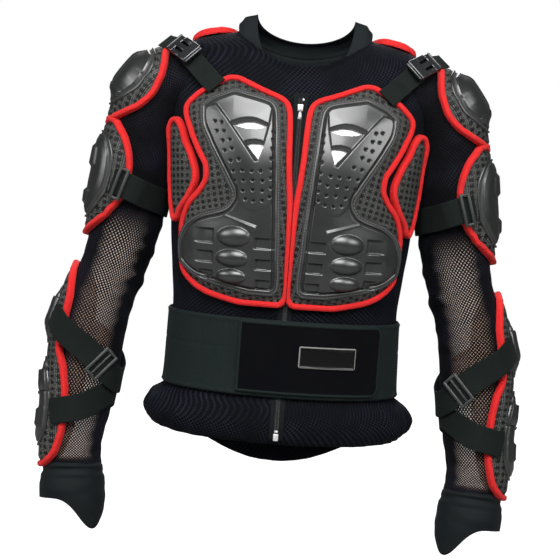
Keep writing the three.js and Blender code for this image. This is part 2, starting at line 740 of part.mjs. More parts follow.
// The stations of a strap, with the direction across it. Shares of rise become heights over the jersey.
const OVER_BINDING = TAPE_SEAT + BINDING_HEIGHT + GUARD_GAP;
function stationsOf(table, chart) {
  const spots = table.map((row) => {
    const rise = STRAP_LIFT + (OVER_BINDING - STRAP_LIFT) * row.rise;
    const spot =
      row.across === undefined
        ? chart(row.turn, row.at)
        : onFront(row.across * CHEST_HALF, -row.down * JACKET_LENGTH);
    return { ...spot, rise };
  });
  return spots.map((spot, i) => {
    const before = spots[Math.max(0, i - 1)].place;
    const after = spots[Math.min(spots.length - 1, i + 1)].place;
    const wide = after.clone().sub(before).cross(spot.out).normalize();
    return { ...spot, wide };
  });
}

// A rectangular strap loop lying over a station of a strap.
function loopOver(station, length, width) {
  const along = new THREE.Vector3().crossVectors(station.out, station.wide).normalize();
  const frame = new THREE.Matrix4().makeBasis(along, station.wide, station.out);
  const centre = raised(station, station.rise + STRAP + STACK_GAP + LOOP_THICK / 2);
  const block = (l, w, h) => {
    const box = new THREE.BoxGeometry(l, w, h).applyMatrix4(frame).translate(centre.x, centre.y, centre.z);
    return fromGeometry(box);
  };
  return block(length, width, LOOP_THICK).subtract(
    block(length - 2 * LOOP_BAR, width - 2 * LOOP_BAR, LOOP_THICK * 3),
  );
}

const strapGrown = (stations, width) => tape(stations, width, STRAP, SEAM_GAP);

function fromGeometry(geometry) {
  const bare = geometry.clone();
  bare.deleteAttribute("normal");
  bare.deleteAttribute("uv");
  const merged = mergeVertices(bare, 1e-3);
  const array = merged.attributes.position.array;
  const points = Array.from({ length: array.length / 3 }, (_, i) => point(...array.slice(i * 3, i * 3 + 3)));
  return solidFrom(points, Array.from(merged.index.array));
}

// The zip

const ZIP = { top: 0.19, bottom: 0.99 };
const zipBetween = TORSO.map((row) => row.down).filter((down) => down > ZIP.top && down < ZIP.bottom);
const zipHeights = [ZIP.top, ...zipBetween, ZIP.bottom];
function zipSolid(margin) {
  const spots = zipHeights.map((down, i) => {
    const end = i === 0 ? margin : i === zipHeights.length - 1 ? -margin : 0;
    const z = -down * JACKET_LENGTH + end;
    return [-0.5, 0, 0.5].map((side) => {
      const x = side * (ZIP_WIDTH + 2 * margin);
      return { place: torsoPoint(turnAcross(x, z), z), out: point(0, -1, 0) };
    });
  });
  return sheet(spots, flat(SEAM_GAP - 2 * margin), flat(SEAM_GAP + ZIP_THICK + margin));
}

function zipPull() {
  const z = -0.238 * JACKET_LENGTH;
  const [high, low] = [z + PULL_LENGTH / 2, z - PULL_LENGTH / 2];
  const corner = (side, height) => torsoPoint(90, height).setX(side * PULL_WIDTH);
  const spots = [high, low].map((height) =>
    [-0.5, 0.5].map((side) => ({ place: corner(side, height), out: point(0, -1, 0) })),
  );
  const foot = SEAM_GAP + ZIP_THICK + STACK_GAP * 2;
  return sheet(spots, flat(foot), flat(foot + 2));
}

// The jersey

const torsoFull = loft(torsoRings(0, 0));
const torsoHollow = loft(torsoRings(-CLOTH, CLOTH * 4));
const sleeveEnd = ARM.length - 1;
const sleeveFull = loft(armRings(0, 0.5, sleeveEnd));
const sleeveHollow = loft(armRings(-CLOTH, 0.4, sleeveEnd + 0.3));
const MIRROR = [-1, 1, 1];

function neckCutter() {
  const ring = (z) =>
    Array.from({ length: TORSO_SEGMENTS }, (_, i) => {
      const angle = (i / TORSO_SEGMENTS) * Math.PI * 2;
      const depth = Math.sin(angle) > 0 ? NECK_FRONT : NECK_BACK;
      return point(NECK_HALF * Math.cos(angle), -depth * Math.sin(angle), z);
    });
  return loft([ring(APPROACH), ring(-JACKET_LENGTH * 0.23)]);
}

const zipGrown = zipSolid(SEAM_GAP);

// What a piece must stay clear of: the body, a pad with its tape, and the zip, each grown by the seam's gap.
const bodyGrown = loft(torsoRings(SEAM_GAP, 0)).add(loft(armRings(SEAM_GAP, 0.5, ARM.length - 1)));
const clear = (solid, ...others) => others.reduce((rest, other) => rest.subtract(other), solid);
const padGrown = (spots) =>
  sheet(spread(spots, SEAM_GAP * 0.8), flat(-SEAM_GAP), flat(SEAT_GAP + PAD + SEAM_GAP));
const paddingGrown = (spots) => padGrown(spots).add(binding(spots, undefined, SEAM_GAP));

const torso = () =>
  torsoFull
    .subtract(torsoHollow)
    .subtract(neckCutter())
    .subtract(sleeveHollow)
    .subtract(sleeveHollow.scale(MIRROR));

const sleeve = () => sleeveFull.subtract(sleeveHollow).subtract(loft(torsoRings(SEAM_GAP, 0)));

// The cuff: a stretch tube from the wrist that runs out to a tip on the thumb's side.
function cuff() {
  const wrist = armSection(sleeveEnd);
  const gap = (SEAM_GAP * 2) / CUFF_LENGTH;
  const grid = (grow) =>
    CUFF.map((row) =>
      Array.from({ length: SLEEVE_SEGMENTS }, (_, i) => {
        const turn = (i * 360) / SLEEVE_SEGMENTS;
        const lean = Math.max(0, Math.cos((turn - CUFF_TIP_TURN) * RADIANS));
        const reach = (row.along + gap) * CUFF_LENGTH + row.tip * CUFF_TIP * lean ** CUFF_TIP_NARROW;
        return wrist.centre
          .clone()
          .addScaledVector(wrist.along, reach)
          .addScaledVector(wrist.out, Math.cos(turn * RADIANS) * (row.wide * wrist.across + grow))
          .addScaledVector(wrist.ahead, Math.sin(turn * RADIANS) * (row.wide * wrist.deep + grow));
      }),
    );
  return bodyBetween(grid(0), grid(-CLOTH), true);
}

// The torso's height above a place inside its outline.
function heightOver(x, y) {
  let [low, high] = [-JACKET_LENGTH / 2, -TORSO[0].down * JACKET_LENGTH];
  for (let i = 0; i < 30; i++) {
    const middle = (low + high) / 2;
    if (torsoReach(point(x, y, middle)) < 0) low = middle;
    else high = middle;
  }
  return low;
}

// The collar stands in the neck opening and leans in towards its dipped upper edge.
const COLLAR_ROOT = 6;
function collar() {
  const ring = (lean, rise, grow) =>
    Array.from({ length: TORSO_SEGMENTS }, (_, i) => {
      const angle = (i / TORSO_SEGMENTS) * Math.PI * 2;
      const [c, s] = [Math.cos(angle), Math.sin(angle)];
      const ahead = s > 0;
      const foot = { half: NECK_HALF - SEAM_GAP, depth: (ahead ? NECK_FRONT : NECK_BACK) - SEAM_GAP };
      const rim = { half: COLLAR_HALF, depth: ahead ? COLLAR_FRONT : COLLAR_BACK };
      const half = foot.half + (rim.half - foot.half) * lean + grow;
      const depth = foot.depth + (rim.depth - foot.depth) * lean + grow;
      const base = heightOver(foot.half * c, -foot.depth * s);
      const top = -Math.abs(s) * (ahead ? COLLAR_FRONT_DIP : COLLAR_BACK_DIP);
      return point(half * c, -depth * s, base - COLLAR_ROOT + (top - base + COLLAR_ROOT) * rise);
    });
  const rows = [
    { lean: 0, rise: 0 },
    { lean: 0.06, rise: 0.45 },
    { lean: 0.35, rise: 0.85 },
    { lean: 1, rise: 1 },
  ];
  const grid = (grow) => rows.map((row) => ring(row.lean, row.rise, grow));
  return bodyBetween(grid(0), grid(-CLOTH), true);
}

// The chest

const chestSpots = frontGrid(CHEST_PAD, 5);
const plateFoot = SEAT_GAP + PAD + GUARD_GAP;
const rimRamp = (v, u, edge) => smooth(clamp(Math.min(u, 1 - u, v, 1 - v) / edge, 0, 1));
const plateRise = (v, u) => plateFoot + CHEST_DOME * rimRamp(v, u, 0.14);

const padOn = (spots) => sheet(spots, flat(SEAT_GAP), flat(SEAT_GAP + PAD));
const nearMiddle = (p) => Math.abs(p.x) - SEAM_GAP;
const chestPad = () => clear(padOn(chestSpots), bodyGrown, zipGrown);
const chestBinding = () => clear(binding(chestSpots, nearMiddle), bodyGrown, zipGrown);

// A prism through the front over an outline of places across and down.
function frontPrism(outline) {
  const ring = (grow) =>
    outline.map(([across, down]) => {
      const spot = onFront(across * CHEST_HALF, -down * JACKET_LENGTH);
      return raised(spot, plateFoot + grow);
    });
  const [low, high] = [ring(-PLATE), ring(CHEST_DOME + PLATE * 3)];
  return loft([low, high]);
}

function chestPlate() {
  const spots = frontGrid(CHEST_PLATE, 6);
  let made = sheet(spots, plateRise, (v, u) => plateRise(v, u) + PLATE);
  const crescent = even(9).map((share) => {
    const side = share < 0.5 ? 1 : -1;
    const along = share < 0.5 ? share * 4 - 1 : 3 - share * 4;
    return [
      CRESCENT.across + (along * CRESCENT.wide) / 2,
      CRESCENT.down - side * CRESCENT.tall * (1 - along * along),
    ];
  });
  const wedge = [
    [WEDGE.left, WEDGE.top],
    [WEDGE.right, WEDGE.top],
    [WEDGE.tip, WEDGE.bottom],
  ];
  made = made.subtract(frontPrism(crescent.slice(0, 8))).subtract(frontPrism(wedge));
  const crown = plateFoot + CHEST_DOME + PLATE;
  for (const bump of BUMPS) {
    const rings = BUMP_RINGS.map((ring) =>
      Array.from({ length: 8 }, (_, i) => {
        const angle = (i * Math.PI) / 4;
        const across = bump.across * CHEST_HALF + BUMP_HALF * ring.wide * Math.cos(angle);
        const z = -bump.down * JACKET_LENGTH - BUMP_HALF * BUMP_SLIM * ring.wide * Math.sin(angle);
        return raised(onFront(across, z), crown + ring.high * BUMP_HEIGHT);
      }),
    );
    made = made.add(loft(rings));
  }
  return clear(made, padGrown(chestSpots));
}

// The pale sheet that shows through the plate's windows.
function ventInsert() {
  const rows = [CRESCENT.down - 0.02, (CRESCENT.down + WEDGE.top) / 2, WEDGE.bottom + 0.01];
  const spots = rows.map((down) =>
    [0.23, 0.32, 0.41, 0.5].map((across) => onFront(across * CHEST_HALF, -down * JACKET_LENGTH)),
  );
  const low = SEAT_GAP + PAD + STACK_GAP;
  return clear(sheet(spots, flat(low), flat(low + INSERT_THICK)), padGrown(chestSpots));
}

// The side pad keeps clear of the chest pad's binding and its own.
const chestOuterAt = (down) => {
  const index = CHEST_PAD.findIndex((row) => row.down >= down);
  const part = (down - CHEST_PAD[index - 1].down) / (CHEST_PAD[index].down - CHEST_PAD[index - 1].down);
  return between(CHEST_PAD, index - 1 + part).outer;
};
const sideRoom = (2 * BINDING_WIDTH + 3) / CHEST_HALF;
const sideSpots = frontGrid(SIDE_PAD, 4, (row) => Math.max(row.inner, chestOuterAt(row.down) + sideRoom));
const chestGrown = padGrown(chestSpots).add(binding(chestSpots, nearMiddle, SEAM_GAP));
const sidePad = () => clear(padOn(sideSpots), bodyGrown, chestGrown);
const sideBinding = () => clear(binding(sideSpots), bodyGrown, chestGrown);

// The sleeve's pads and guards

function guardOn(table, columns, dome, under) {
  const spots = sleeveGrid(table, columns);
  const rise = (v, u) => plateFoot + dome * rimRamp(v, u, 0.3);
  return clear(sheet(spots, rise, (v, u) => rise(v, u) + PLATE), padGrown(under));
}
const shoulderSpots = sleeveGrid(SHOULDER_PAD, 7);
const armSpots = sleeveGrid(ARM_PAD, 7);
const forearmSpots = sleeveGrid(FOREARM_PAD, 6);
const bindingOn = (spots) => clear(binding(spots), bodyGrown);
const shoulderGrown = paddingGrown(shoulderSpots);
const armPad = () => clear(padOn(armSpots), bodyGrown, shoulderGrown);
const armBinding = () => clear(bindingOn(armSpots), shoulderGrown, padGrown(armSpots));

// Straps and buckles

const STRAP_LAYER = 2; // the sewn foot of a strap rides this far above the pad it is sewn to
function buckleOn(station) {
  const along = new THREE.Vector3().crossVectors(station.out, station.wide).normalize();
  const frame = new THREE.Matrix4().makeBasis(along, station.wide, station.out);
  const centre = raised(station, station.rise + STRAP + STACK_GAP + BUCKLE_THICK / 2);
  const place = (geometry) =>
    fromGeometry(geometry.applyMatrix4(frame).translate(centre.x, centre.y, centre.z));
  const body = place(new THREE.BoxGeometry(BUCKLE_LENGTH * 0.6, BUCKLE_WIDTH, BUCKLE_THICK));
  const tongue = new THREE.BoxGeometry(BUCKLE_LENGTH, BUCKLE_WIDTH * 0.7, BUCKLE_THICK * 0.6);
  return body.add(place(tongue));
}

// The belt

const beltTop = JACKET_LENGTH * 0.714;
const beltFoot = SEAM_GAP + ZIP_THICK + STACK_GAP * 2;
function belt() {
  const heights = [0, 0.5, 1].map((share) => -beltTop - share * BELT_WIDTH);
  const grid = (lift) =>
    heights.map((z) =>
      Array.from({ length: TORSO_SEGMENTS }, (_, i) => torsoPoint((i * 360) / TORSO_SEGMENTS, z, lift)),
    );
  return bodyBetween(grid(beltFoot + BELT_THICK), grid(beltFoot), true);
}

const FLAP = { left: -0.32, right: 0.715, top: 0.015, bottom: 0.955, corner: 0.04 };
function frontPanel(left, right, top, bottom, low, thick, rows, columns) {
  const grid = (lift) =>
    even(rows).map((v) =>
      even(columns).map((u) => {
        const z = -beltTop - (top + (bottom - top) * v) * BELT_WIDTH;
        return torsoPoint(turnAcross((left + (right - left) * u) * CHEST_HALF, z), z, lift);
      }),
    );
  return bodyBetween(grid(low + thick), grid(low));
}
const flapFoot = beltFoot + BELT_THICK + STACK_GAP * 1.6;
const flapTop = flapFoot + FLAP_THICK;
const beltFlap = () =>
  frontPanel(FLAP.left, FLAP.right, FLAP.top, FLAP.bottom, flapFoot, FLAP_THICK, 3, 12);
const PATCH = { left: 0.125, right: 0.53, top: 0.31, bottom: 0.6 };
const beltPatch = () =>
  frontPanel(PATCH.left, PATCH.right, PATCH.top, PATCH.bottom, flapTop + STACK_GAP, PATCH_THICK, 2, 5);

// The back

const backColumns = [...BACK_PAD.slice(1).reverse().map((c) => ({ ...c, across: -c.across })), ...BACK_PAD];
const backSpots = backColumns.map((column) =>
  BACK_ROWS.map((share) => {
    const drop = (column.top + (column.bottom - column.top) * share) * JACKET_LENGTH;
    return onBack(column.across * CHEST_HALF, drop);
  }),
);
const backPad = () => clear(padOn(backSpots), bodyGrown);
const SPINE = { top: 0.19, bottom: 0.62, half: 0.3, step: 2.5 };
function spineGuard() {
  const rows = [];
  for (let i = 0; i < SPINE_PLATES; i++) {
    const low = SPINE.top + ((SPINE.bottom - SPINE.top) * i) / SPINE_PLATES;
    const high = SPINE.top + ((SPINE.bottom - SPINE.top) * (i + 0.94)) / SPINE_PLATES;
    const taper = 1 - 0.4 * ((i + 0.5) / SPINE_PLATES);
    rows.push({ down: low, half: SPINE.half * taper, step: 1 });
    rows.push({ down: high, half: SPINE.half * taper, step: 0 });
  }
  const spots = rows.map((row) =>
    [-1, -0.5, 0.5, 1].map((side) => onBack(side * row.half * CHEST_HALF, row.down * JACKET_LENGTH)),
  );
  const last = rows.length - 1;
  const top = (v) => plateFoot + PLATE + rows[Math.round(v * last)].step * SPINE.step;
  return clear(sheet(spots, flat(plateFoot), top), padGrown(backSpots));
}

// Finishes: colours and roughness from the real materials
const finish = (color, roughness, metalness = 0) =>
  new THREE.MeshStandardMaterial({ color, roughness, metalness });
const JERSEY = finish(0x0d0e12, 0.9);
const LYCRA = finish(0x14191c, 0.8);
const FOAM = finish(0x262726, 0.85);
const TAPE = finish(0xe0221c, 0.7);
const SHELL = finish(0x2c2d2c, 0.35);
const PALE = finish(0xf0f0ee, 0.4);
const WEBBING = finish(0x17201e, 0.85);
const BUCKLE = finish(0x1a1c1e, 0.3);
const VELVET = finish(0x07070b, 0.95);
const PATCHED = finish(0x121212, 0.3);
const METAL = finish(0xd6d6d8, 0.3, 0.9);

// The assembly

const jacket = new THREE.Group();
jacket.name = "armour_jacket";
jacket.position.z = SHOULDER_DROP;

function place(name, solid, material) {
  const mesh = new THREE.Mesh(geometryOf(solid), material);
  mesh.name = name;
  jacket.add(mesh);
}

// The same piece on the wearer's left and, mirrored, on the right.
function pair(name, solid, material) {
  place(name + "_left", solid, material);
  place(name + "_right", solid.scale(MIRROR), material);
}

const armStations = stationsOf(ARM_STRAP, roundSleeve);
const elbowStations = stationsOf(ELBOW_STRAP, roundSleeve);
const wristStations = stationsOf(WRIST_STRAP, roundSleeve);
const shoulderStations = stationsOf(SHOULDER_STRAP, onSleeve);

place("torso_jersey", torso(), JERSEY);
pair("sleeve", sleeve(), JERSEY);
pair("cuff", cuff(), LYCRA);
place("collar", collar(), LYCRA);
pair("chest_pad", chestPad(), FOAM);
pair("chest_binding", chestBinding(), TAPE);
pair("chest_plate", chestPlate(), SHELL);
pair("vent_insert", ventInsert(), PALE);
pair("side_pad", sidePad(), FOAM);
pair("side_binding", sideBinding(), TAPE);
pair("shoulder_pad", clear(padOn(shoulderSpots), bodyGrown), FOAM);
pair("shoulder_binding", bindingOn(shoulderSpots), TAPE);
pair("shoulder_cup", guardOn(SHOULDER_CUP, 7, GUARD_DOME, shoulderSpots), SHELL);
pair("arm_pad", armPad(), FOAM);
pair("arm_binding", armBinding(), TAPE);
pair("arm_guard", guardOn(ARM_GUARD, 7, GUARD_DOME * 0.6, armSpots), SHELL);
pair("forearm_pad", clear(padOn(forearmSpots), bodyGrown), FOAM);
pair("forearm_binding", clear(bindingOn(forearmSpots), padGrown(forearmSpots)), TAPE);
pair("elbow_cup", guardOn(ELBOW_CUP, 5, GUARD_DOME * 1.3, forearmSpots), SHELL);
pair("forearm_guard", guardOn(FOREARM_GUARD, 6, GUARD_DOME * 0.7, forearmSpots), SHELL);
pair("shoulder_strap", tape(shoulderStations, SHOULDER_STRAP_WIDTH, STRAP), WEBBING);
const shoulderStrapGrown = strapGrown(shoulderStations, SHOULDER_STRAP_WIDTH);
pair("shoulder_buckle", clear(buckleOn(shoulderStations[4]), shoulderStrapGrown), BUCKLE);
pair("arm_strap", tape(armStations, STRAP_WIDTH, STRAP), WEBBING);
const armLoop = loopOver(armStations[1], ARM_LOOP_LENGTH, STRAP_WIDTH + LOOP_MARGIN);
pair("arm_loop", clear(armLoop, strapGrown(armStations, STRAP_WIDTH)), BUCKLE);
pair("elbow_strap", tape(elbowStations, STRAP_WIDTH, STRAP), WEBBING);
pair("wrist_strap", tape(wristStations, STRAP_WIDTH, STRAP), WEBBING);
const elbowLoop = loopOver(elbowStations[5], STRAP_LOOP_LENGTH, STRAP_WIDTH + LOOP_MARGIN);
pair("strap_loop", clear(elbowLoop, strapGrown(elbowStations, STRAP_WIDTH)), BUCKLE);
place("belt", belt(), WEBBING);
place("belt_flap", beltFlap(), VELVET);
place("belt_patch", beltPatch(), PATCHED);
place("zip", zipSolid(0), WEBBING);
place("zip_pull", zipPull(), METAL);
place("back_pad", backPad(), FOAM);
place("back_binding", clear(bindingOn(backSpots), padGrown(backSpots)), TAPE);
place("spine_guard", spineGuard(), SHELL);

export default jacket;
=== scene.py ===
"""A worn motocross armour jacket: mesh jersey, bound foam pads, moulded guards, straps and a waist belt.

Lengths in the classes are millimetres, with heights counted down from the collar's top. The front faces -Y,
and the pieces are modelled on the wearer's left (+X) and mirrored for the right.
"""

from __future__ import annotations

import logging
import math
from dataclasses import dataclass, field
from enum import Enum
from typing import Callable, Optional, Sequence

import bmesh
import bpy
import numpy as np
from mathutils import Matrix, Vector
from mathutils.kdtree import KDTree

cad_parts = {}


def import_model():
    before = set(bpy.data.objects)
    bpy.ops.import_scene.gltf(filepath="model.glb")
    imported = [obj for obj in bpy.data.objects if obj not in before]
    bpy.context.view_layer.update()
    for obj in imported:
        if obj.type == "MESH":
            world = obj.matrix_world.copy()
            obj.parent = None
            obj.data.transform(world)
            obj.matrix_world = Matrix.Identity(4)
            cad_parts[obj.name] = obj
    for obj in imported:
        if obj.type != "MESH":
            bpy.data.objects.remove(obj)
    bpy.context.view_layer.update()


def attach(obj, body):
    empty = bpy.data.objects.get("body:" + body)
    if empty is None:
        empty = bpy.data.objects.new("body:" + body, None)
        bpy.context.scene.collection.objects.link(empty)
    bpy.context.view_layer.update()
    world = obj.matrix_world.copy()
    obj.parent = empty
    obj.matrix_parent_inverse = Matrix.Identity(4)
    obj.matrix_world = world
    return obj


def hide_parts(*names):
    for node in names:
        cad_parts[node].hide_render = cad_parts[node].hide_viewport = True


LOG = logging.getLogger("armour_jacket")
Array = np.ndarray
Colour = tuple[float, float, float]

SHOULDER_DROP = 40.0
MILLIMETRE = 0.001
TABLE_STEPS = 60
SEARCH_STRIDE = 10
SMOOTH_ANGLE = 38
# Painted shade: the near-black colour painted into the knit's holes for the dark inside them.
HOLE_SHADE = (0.0005, 0.0005, 0.0008)
LINING = (0.3, 0.2, 0.14)


class Side(Enum):
    """The wearer's side that a piece lies on."""

    LEFT = "left"
    RIGHT = "right"


class Knit(Enum):
    """How open a jersey cloth is."""

    BODY = "body"
    SLEEVE = "sleeve"


class Guard(Enum):
    """The moulded form of a sleeve guard."""

    SHOULDER = "shoulder"
    ARM = "arm"
    ELBOW = "elbow"
    FOREARM = "forearm"


# Curves and grids


def smoothstep(value: Array, low: float, high: float) -> Array:
    """Eases from 0 at low to 1 at high."""
    share = np.clip((value - low) / (high - low), 0.0, 1.0)
    return share * share * (3.0 - 2.0 * share)


def bump(distance: Array, centre: float, half: float) -> Array:
    """A rounded ridge of height 1 about a centre."""
    share = np.clip(1.0 - ((distance - centre) / half) ** 2, 0.0, 1.0)
    return np.sqrt(share)


def through(xs: Sequence[float], ys: Sequence[float], at: Array) -> Array:
    """Passes a smooth curve without overshoot through table values.

    Args:
        xs: Rising places of the table's rows.
        ys: Values of the rows.
        at: Places to read.

    Returns:
        The curve's values.
    """
    x, y = np.asarray(xs, float), np.asarray(ys, float)
    step = np.diff(x)
    slope = np.diff(y) / step
    tangent = np.zeros_like(y)
    tangent[0], tangent[-1] = slope[0], slope[-1]
    before, after = 2 * step[1:] + step[:-1], step[1:] + 2 * step[:-1]
    with np.errstate(divide="ignore", invalid="ignore"):
        harmonic = (before + after) / (before / slope[:-1] + after / slope[1:])
    tangent[1:-1] = np.where(slope[:-1] * slope[1:] > 0, np.nan_to_num(harmonic), 0.0)
    at = np.clip(np.asarray(at, float), x[0], x[-1])
    index = np.clip(np.searchsorted(x, at, side="right") - 1, 0, len(x) - 2)
    width = step[index]
    part = (at - x[index]) / width
    first = (1 + 2 * part) * (1 - part) ** 2 * y[index] + part * (1 - part) ** 2 * width * tangent[index]
    last = part**2 * (3 - 2 * part) * y[index + 1] + part**2 * (part - 1) * width * tangent[index + 1]
    return first + last


def resampled(values: Array, count: int, axis: int) -> Array:
    """Makes a grid finer along one axis with a smooth curve through its points."""
    length = values.shape[axis]
    place = np.linspace(0, length - 1, count)
    index = np.clip(place.astype(int), 0, length - 2)
    shape = [1] * values.ndim
    shape[axis] = count
    part = (place - index).reshape(shape)

    def near(step: int) -> Array:
        return np.take(values, np.clip(index + step, 0, length - 1), axis)

    a, b, c, d = near(-1), near(0), near(1), near(2)
    return b + 0.5 * part * (c - a + part * (2 * a - 5 * b + 4 * c - d + part * (3 * (b - c) + d - a)))


def unit(vectors: Array) -> Array:
    """Scales vectors to length 1."""
    return vectors / np.maximum(np.linalg.norm(vectors, axis=-1, keepdims=True), 1e-9)


def ripples(points: Array, seed: int, scale: float, stretch: Colour = (1.0, 1.0, 1.0)) -> Array:
    """Smooth seeded unevenness from a sum of waves.

    Args:
        points: Places in millimetres.
        seed: Which unevenness.
        scale: Typical size of a ripple in millimetres.
        stretch: How much longer the ripples are along each axis.

    Returns:
        Values of about -1 to 1, one for each point.
    """
    rng = np.random.default_rng(seed)
    total = np.zeros(points.shape[:-1])
    for _ in range(9):
        way = rng.normal(size=3) / np.array(stretch)
        total += np.sin(points @ way * (2.2 / scale) + rng.uniform(0, 2 * math.pi))
    return total / 4.2


def inside_depth(x: Array, z: Array, outline: Sequence[tuple[float, float]]) -> Array:
    """How far places lie inside a closed outline, below 0 outside it."""
    corners = np.asarray(outline, float)
    nearest = np.full(x.shape, 1e9)
    inside = np.zeros(x.shape, bool)
    for (ax, az), (bx, bz) in zip(corners, np.roll(corners, -1, 0)):
        dx, dz = bx - ax, bz - az
        share = np.clip(((x - ax) * dx + (z - az) * dz) / (dx * dx + dz * dz + 1e-9), 0, 1)
        nearest = np.minimum(nearest, np.hypot(x - ax - share * dx, z - az - share * dz))
        if abs(dz) > 1e-9:
            inside ^= ((az > z) != (bz > z)) & (x < ax + (z - az) * dx / dz)
    return np.where(inside, nearest, -nearest)


# The worn body


@dataclass(frozen=True)
class BodySizes:
    """Driving sizes of the worn body."""

    length: float = 616.0
    chest_half: float = 190.0
    chest_front: float = 118.0
    chest_back: float = 110.0
    tail_drop: float = 73.0
    side_rise: float = 5.0
    tail_narrow: float = 3.5
    arm_reach: float = 105.0
    arm_fall: float = 586.0
    arm_forward: float = 57.0
    arm_radius: float = 54.0
    arm_start: float = 0.157
    arm_back: float = 0.15
    blend: float = 16.0


# Down, half width, front, back, squareness, tail
TORSO_ROWS = (
    (0.042, 0.48, 0.12, 0.18, 2.0, 0),
    (0.056, 0.7, 0.24, 0.35, 2.1, 0),
    (0.072, 0.86, 0.34, 0.5, 2.2, 0),
    (0.092, 0.975, 0.42, 0.62, 2.4, 0),
    (0.13, 1.025, 0.53, 0.78, 2.6, 0),
    (0.2, 1.03, 0.71, 0.93, 2.6, 0),
    (0.275, 1.0, 0.87, 0.99, 2.4, 0),
    (0.37, 0.965, 0.97, 1.0, 2.3, 0),
    (0.5, 0.945, 0.99, 0.94, 2.2, 0),
    (0.61, 0.91, 0.94, 0.87, 2.2, 0),
    (0.7, 0.885, 0.9, 0.84, 2.2, 0),
    (0.8, 0.89, 0.9, 0.86, 2.2, 0),
    (0.895, 0.905, 0.92, 0.88, 2.2, 0),
    (0.925, 1.02, 0.99, 0.97, 2.2, 0.15),
    (0.96, 1.07, 1.03, 1.03, 2.2, 0.5),
    (1.0, 1.01, 1.01, 1.02, 2.2, 1),
)
# Out, fall, swing, across, deep
ARM_ROWS = (
    (-0.86, -0.02, 0.1, 0.9, 0.95),
    (-0.38, 0.0, 0.09, 0.98, 1.02),
    (-0.01, 0.031, 0.08, 0.99, 1.06),
    (0.24, 0.09, 0.06, 1.0, 1.08),
    (0.37, 0.18, 0.03, 0.99, 1.07),
    (0.465, 0.29, 0.0, 0.99, 1.06),
    (0.55, 0.392, 0.02, 0.95, 1.0),
    (0.68, 0.495, 0.09, 0.9, 0.94),
    (0.83, 0.58, 0.23, 0.91, 0.93),
    (0.92, 0.664, 0.4, 0.94, 0.94),
    (0.945, 0.756, 0.59, 0.91, 0.9),
    (0.975, 0.857, 0.79, 0.82, 0.82),
    (1.02, 0.939, 0.94, 0.76, 0.76),
    (1.0, 1.0, 1.05, 0.77, 0.75),
)


@dataclass
class Spots:
    """A grid of places on the body with the surface's outward direction at each."""

    place: Array
    out: Array

    def fine(self, rows: int, columns: int) -> "Spots":
        """The same surface with more places."""
        place = resampled(resampled(self.place, rows, 0), columns, 1)
        out = unit(resampled(resampled(self.out, rows, 0), columns, 1))
        return Spots(place, out)

    def raised(self, height: Array | float) -> Array:
        """The places lifted off the body."""
        lift = np.broadcast_to(np.asarray(height, float), self.place.shape[:-1])
        return self.place + self.out * lift[..., None]

    def edge(self) -> "Spots":
        """The open edge of the grid as one loop."""

        def loop(grid: Array) -> Array:
            return np.concatenate([grid[0], grid[1:-1, -1], grid[-1][::-1], grid[1:-1, 0][::-1]])

        return Spots(loop(self.place), loop(self.out))


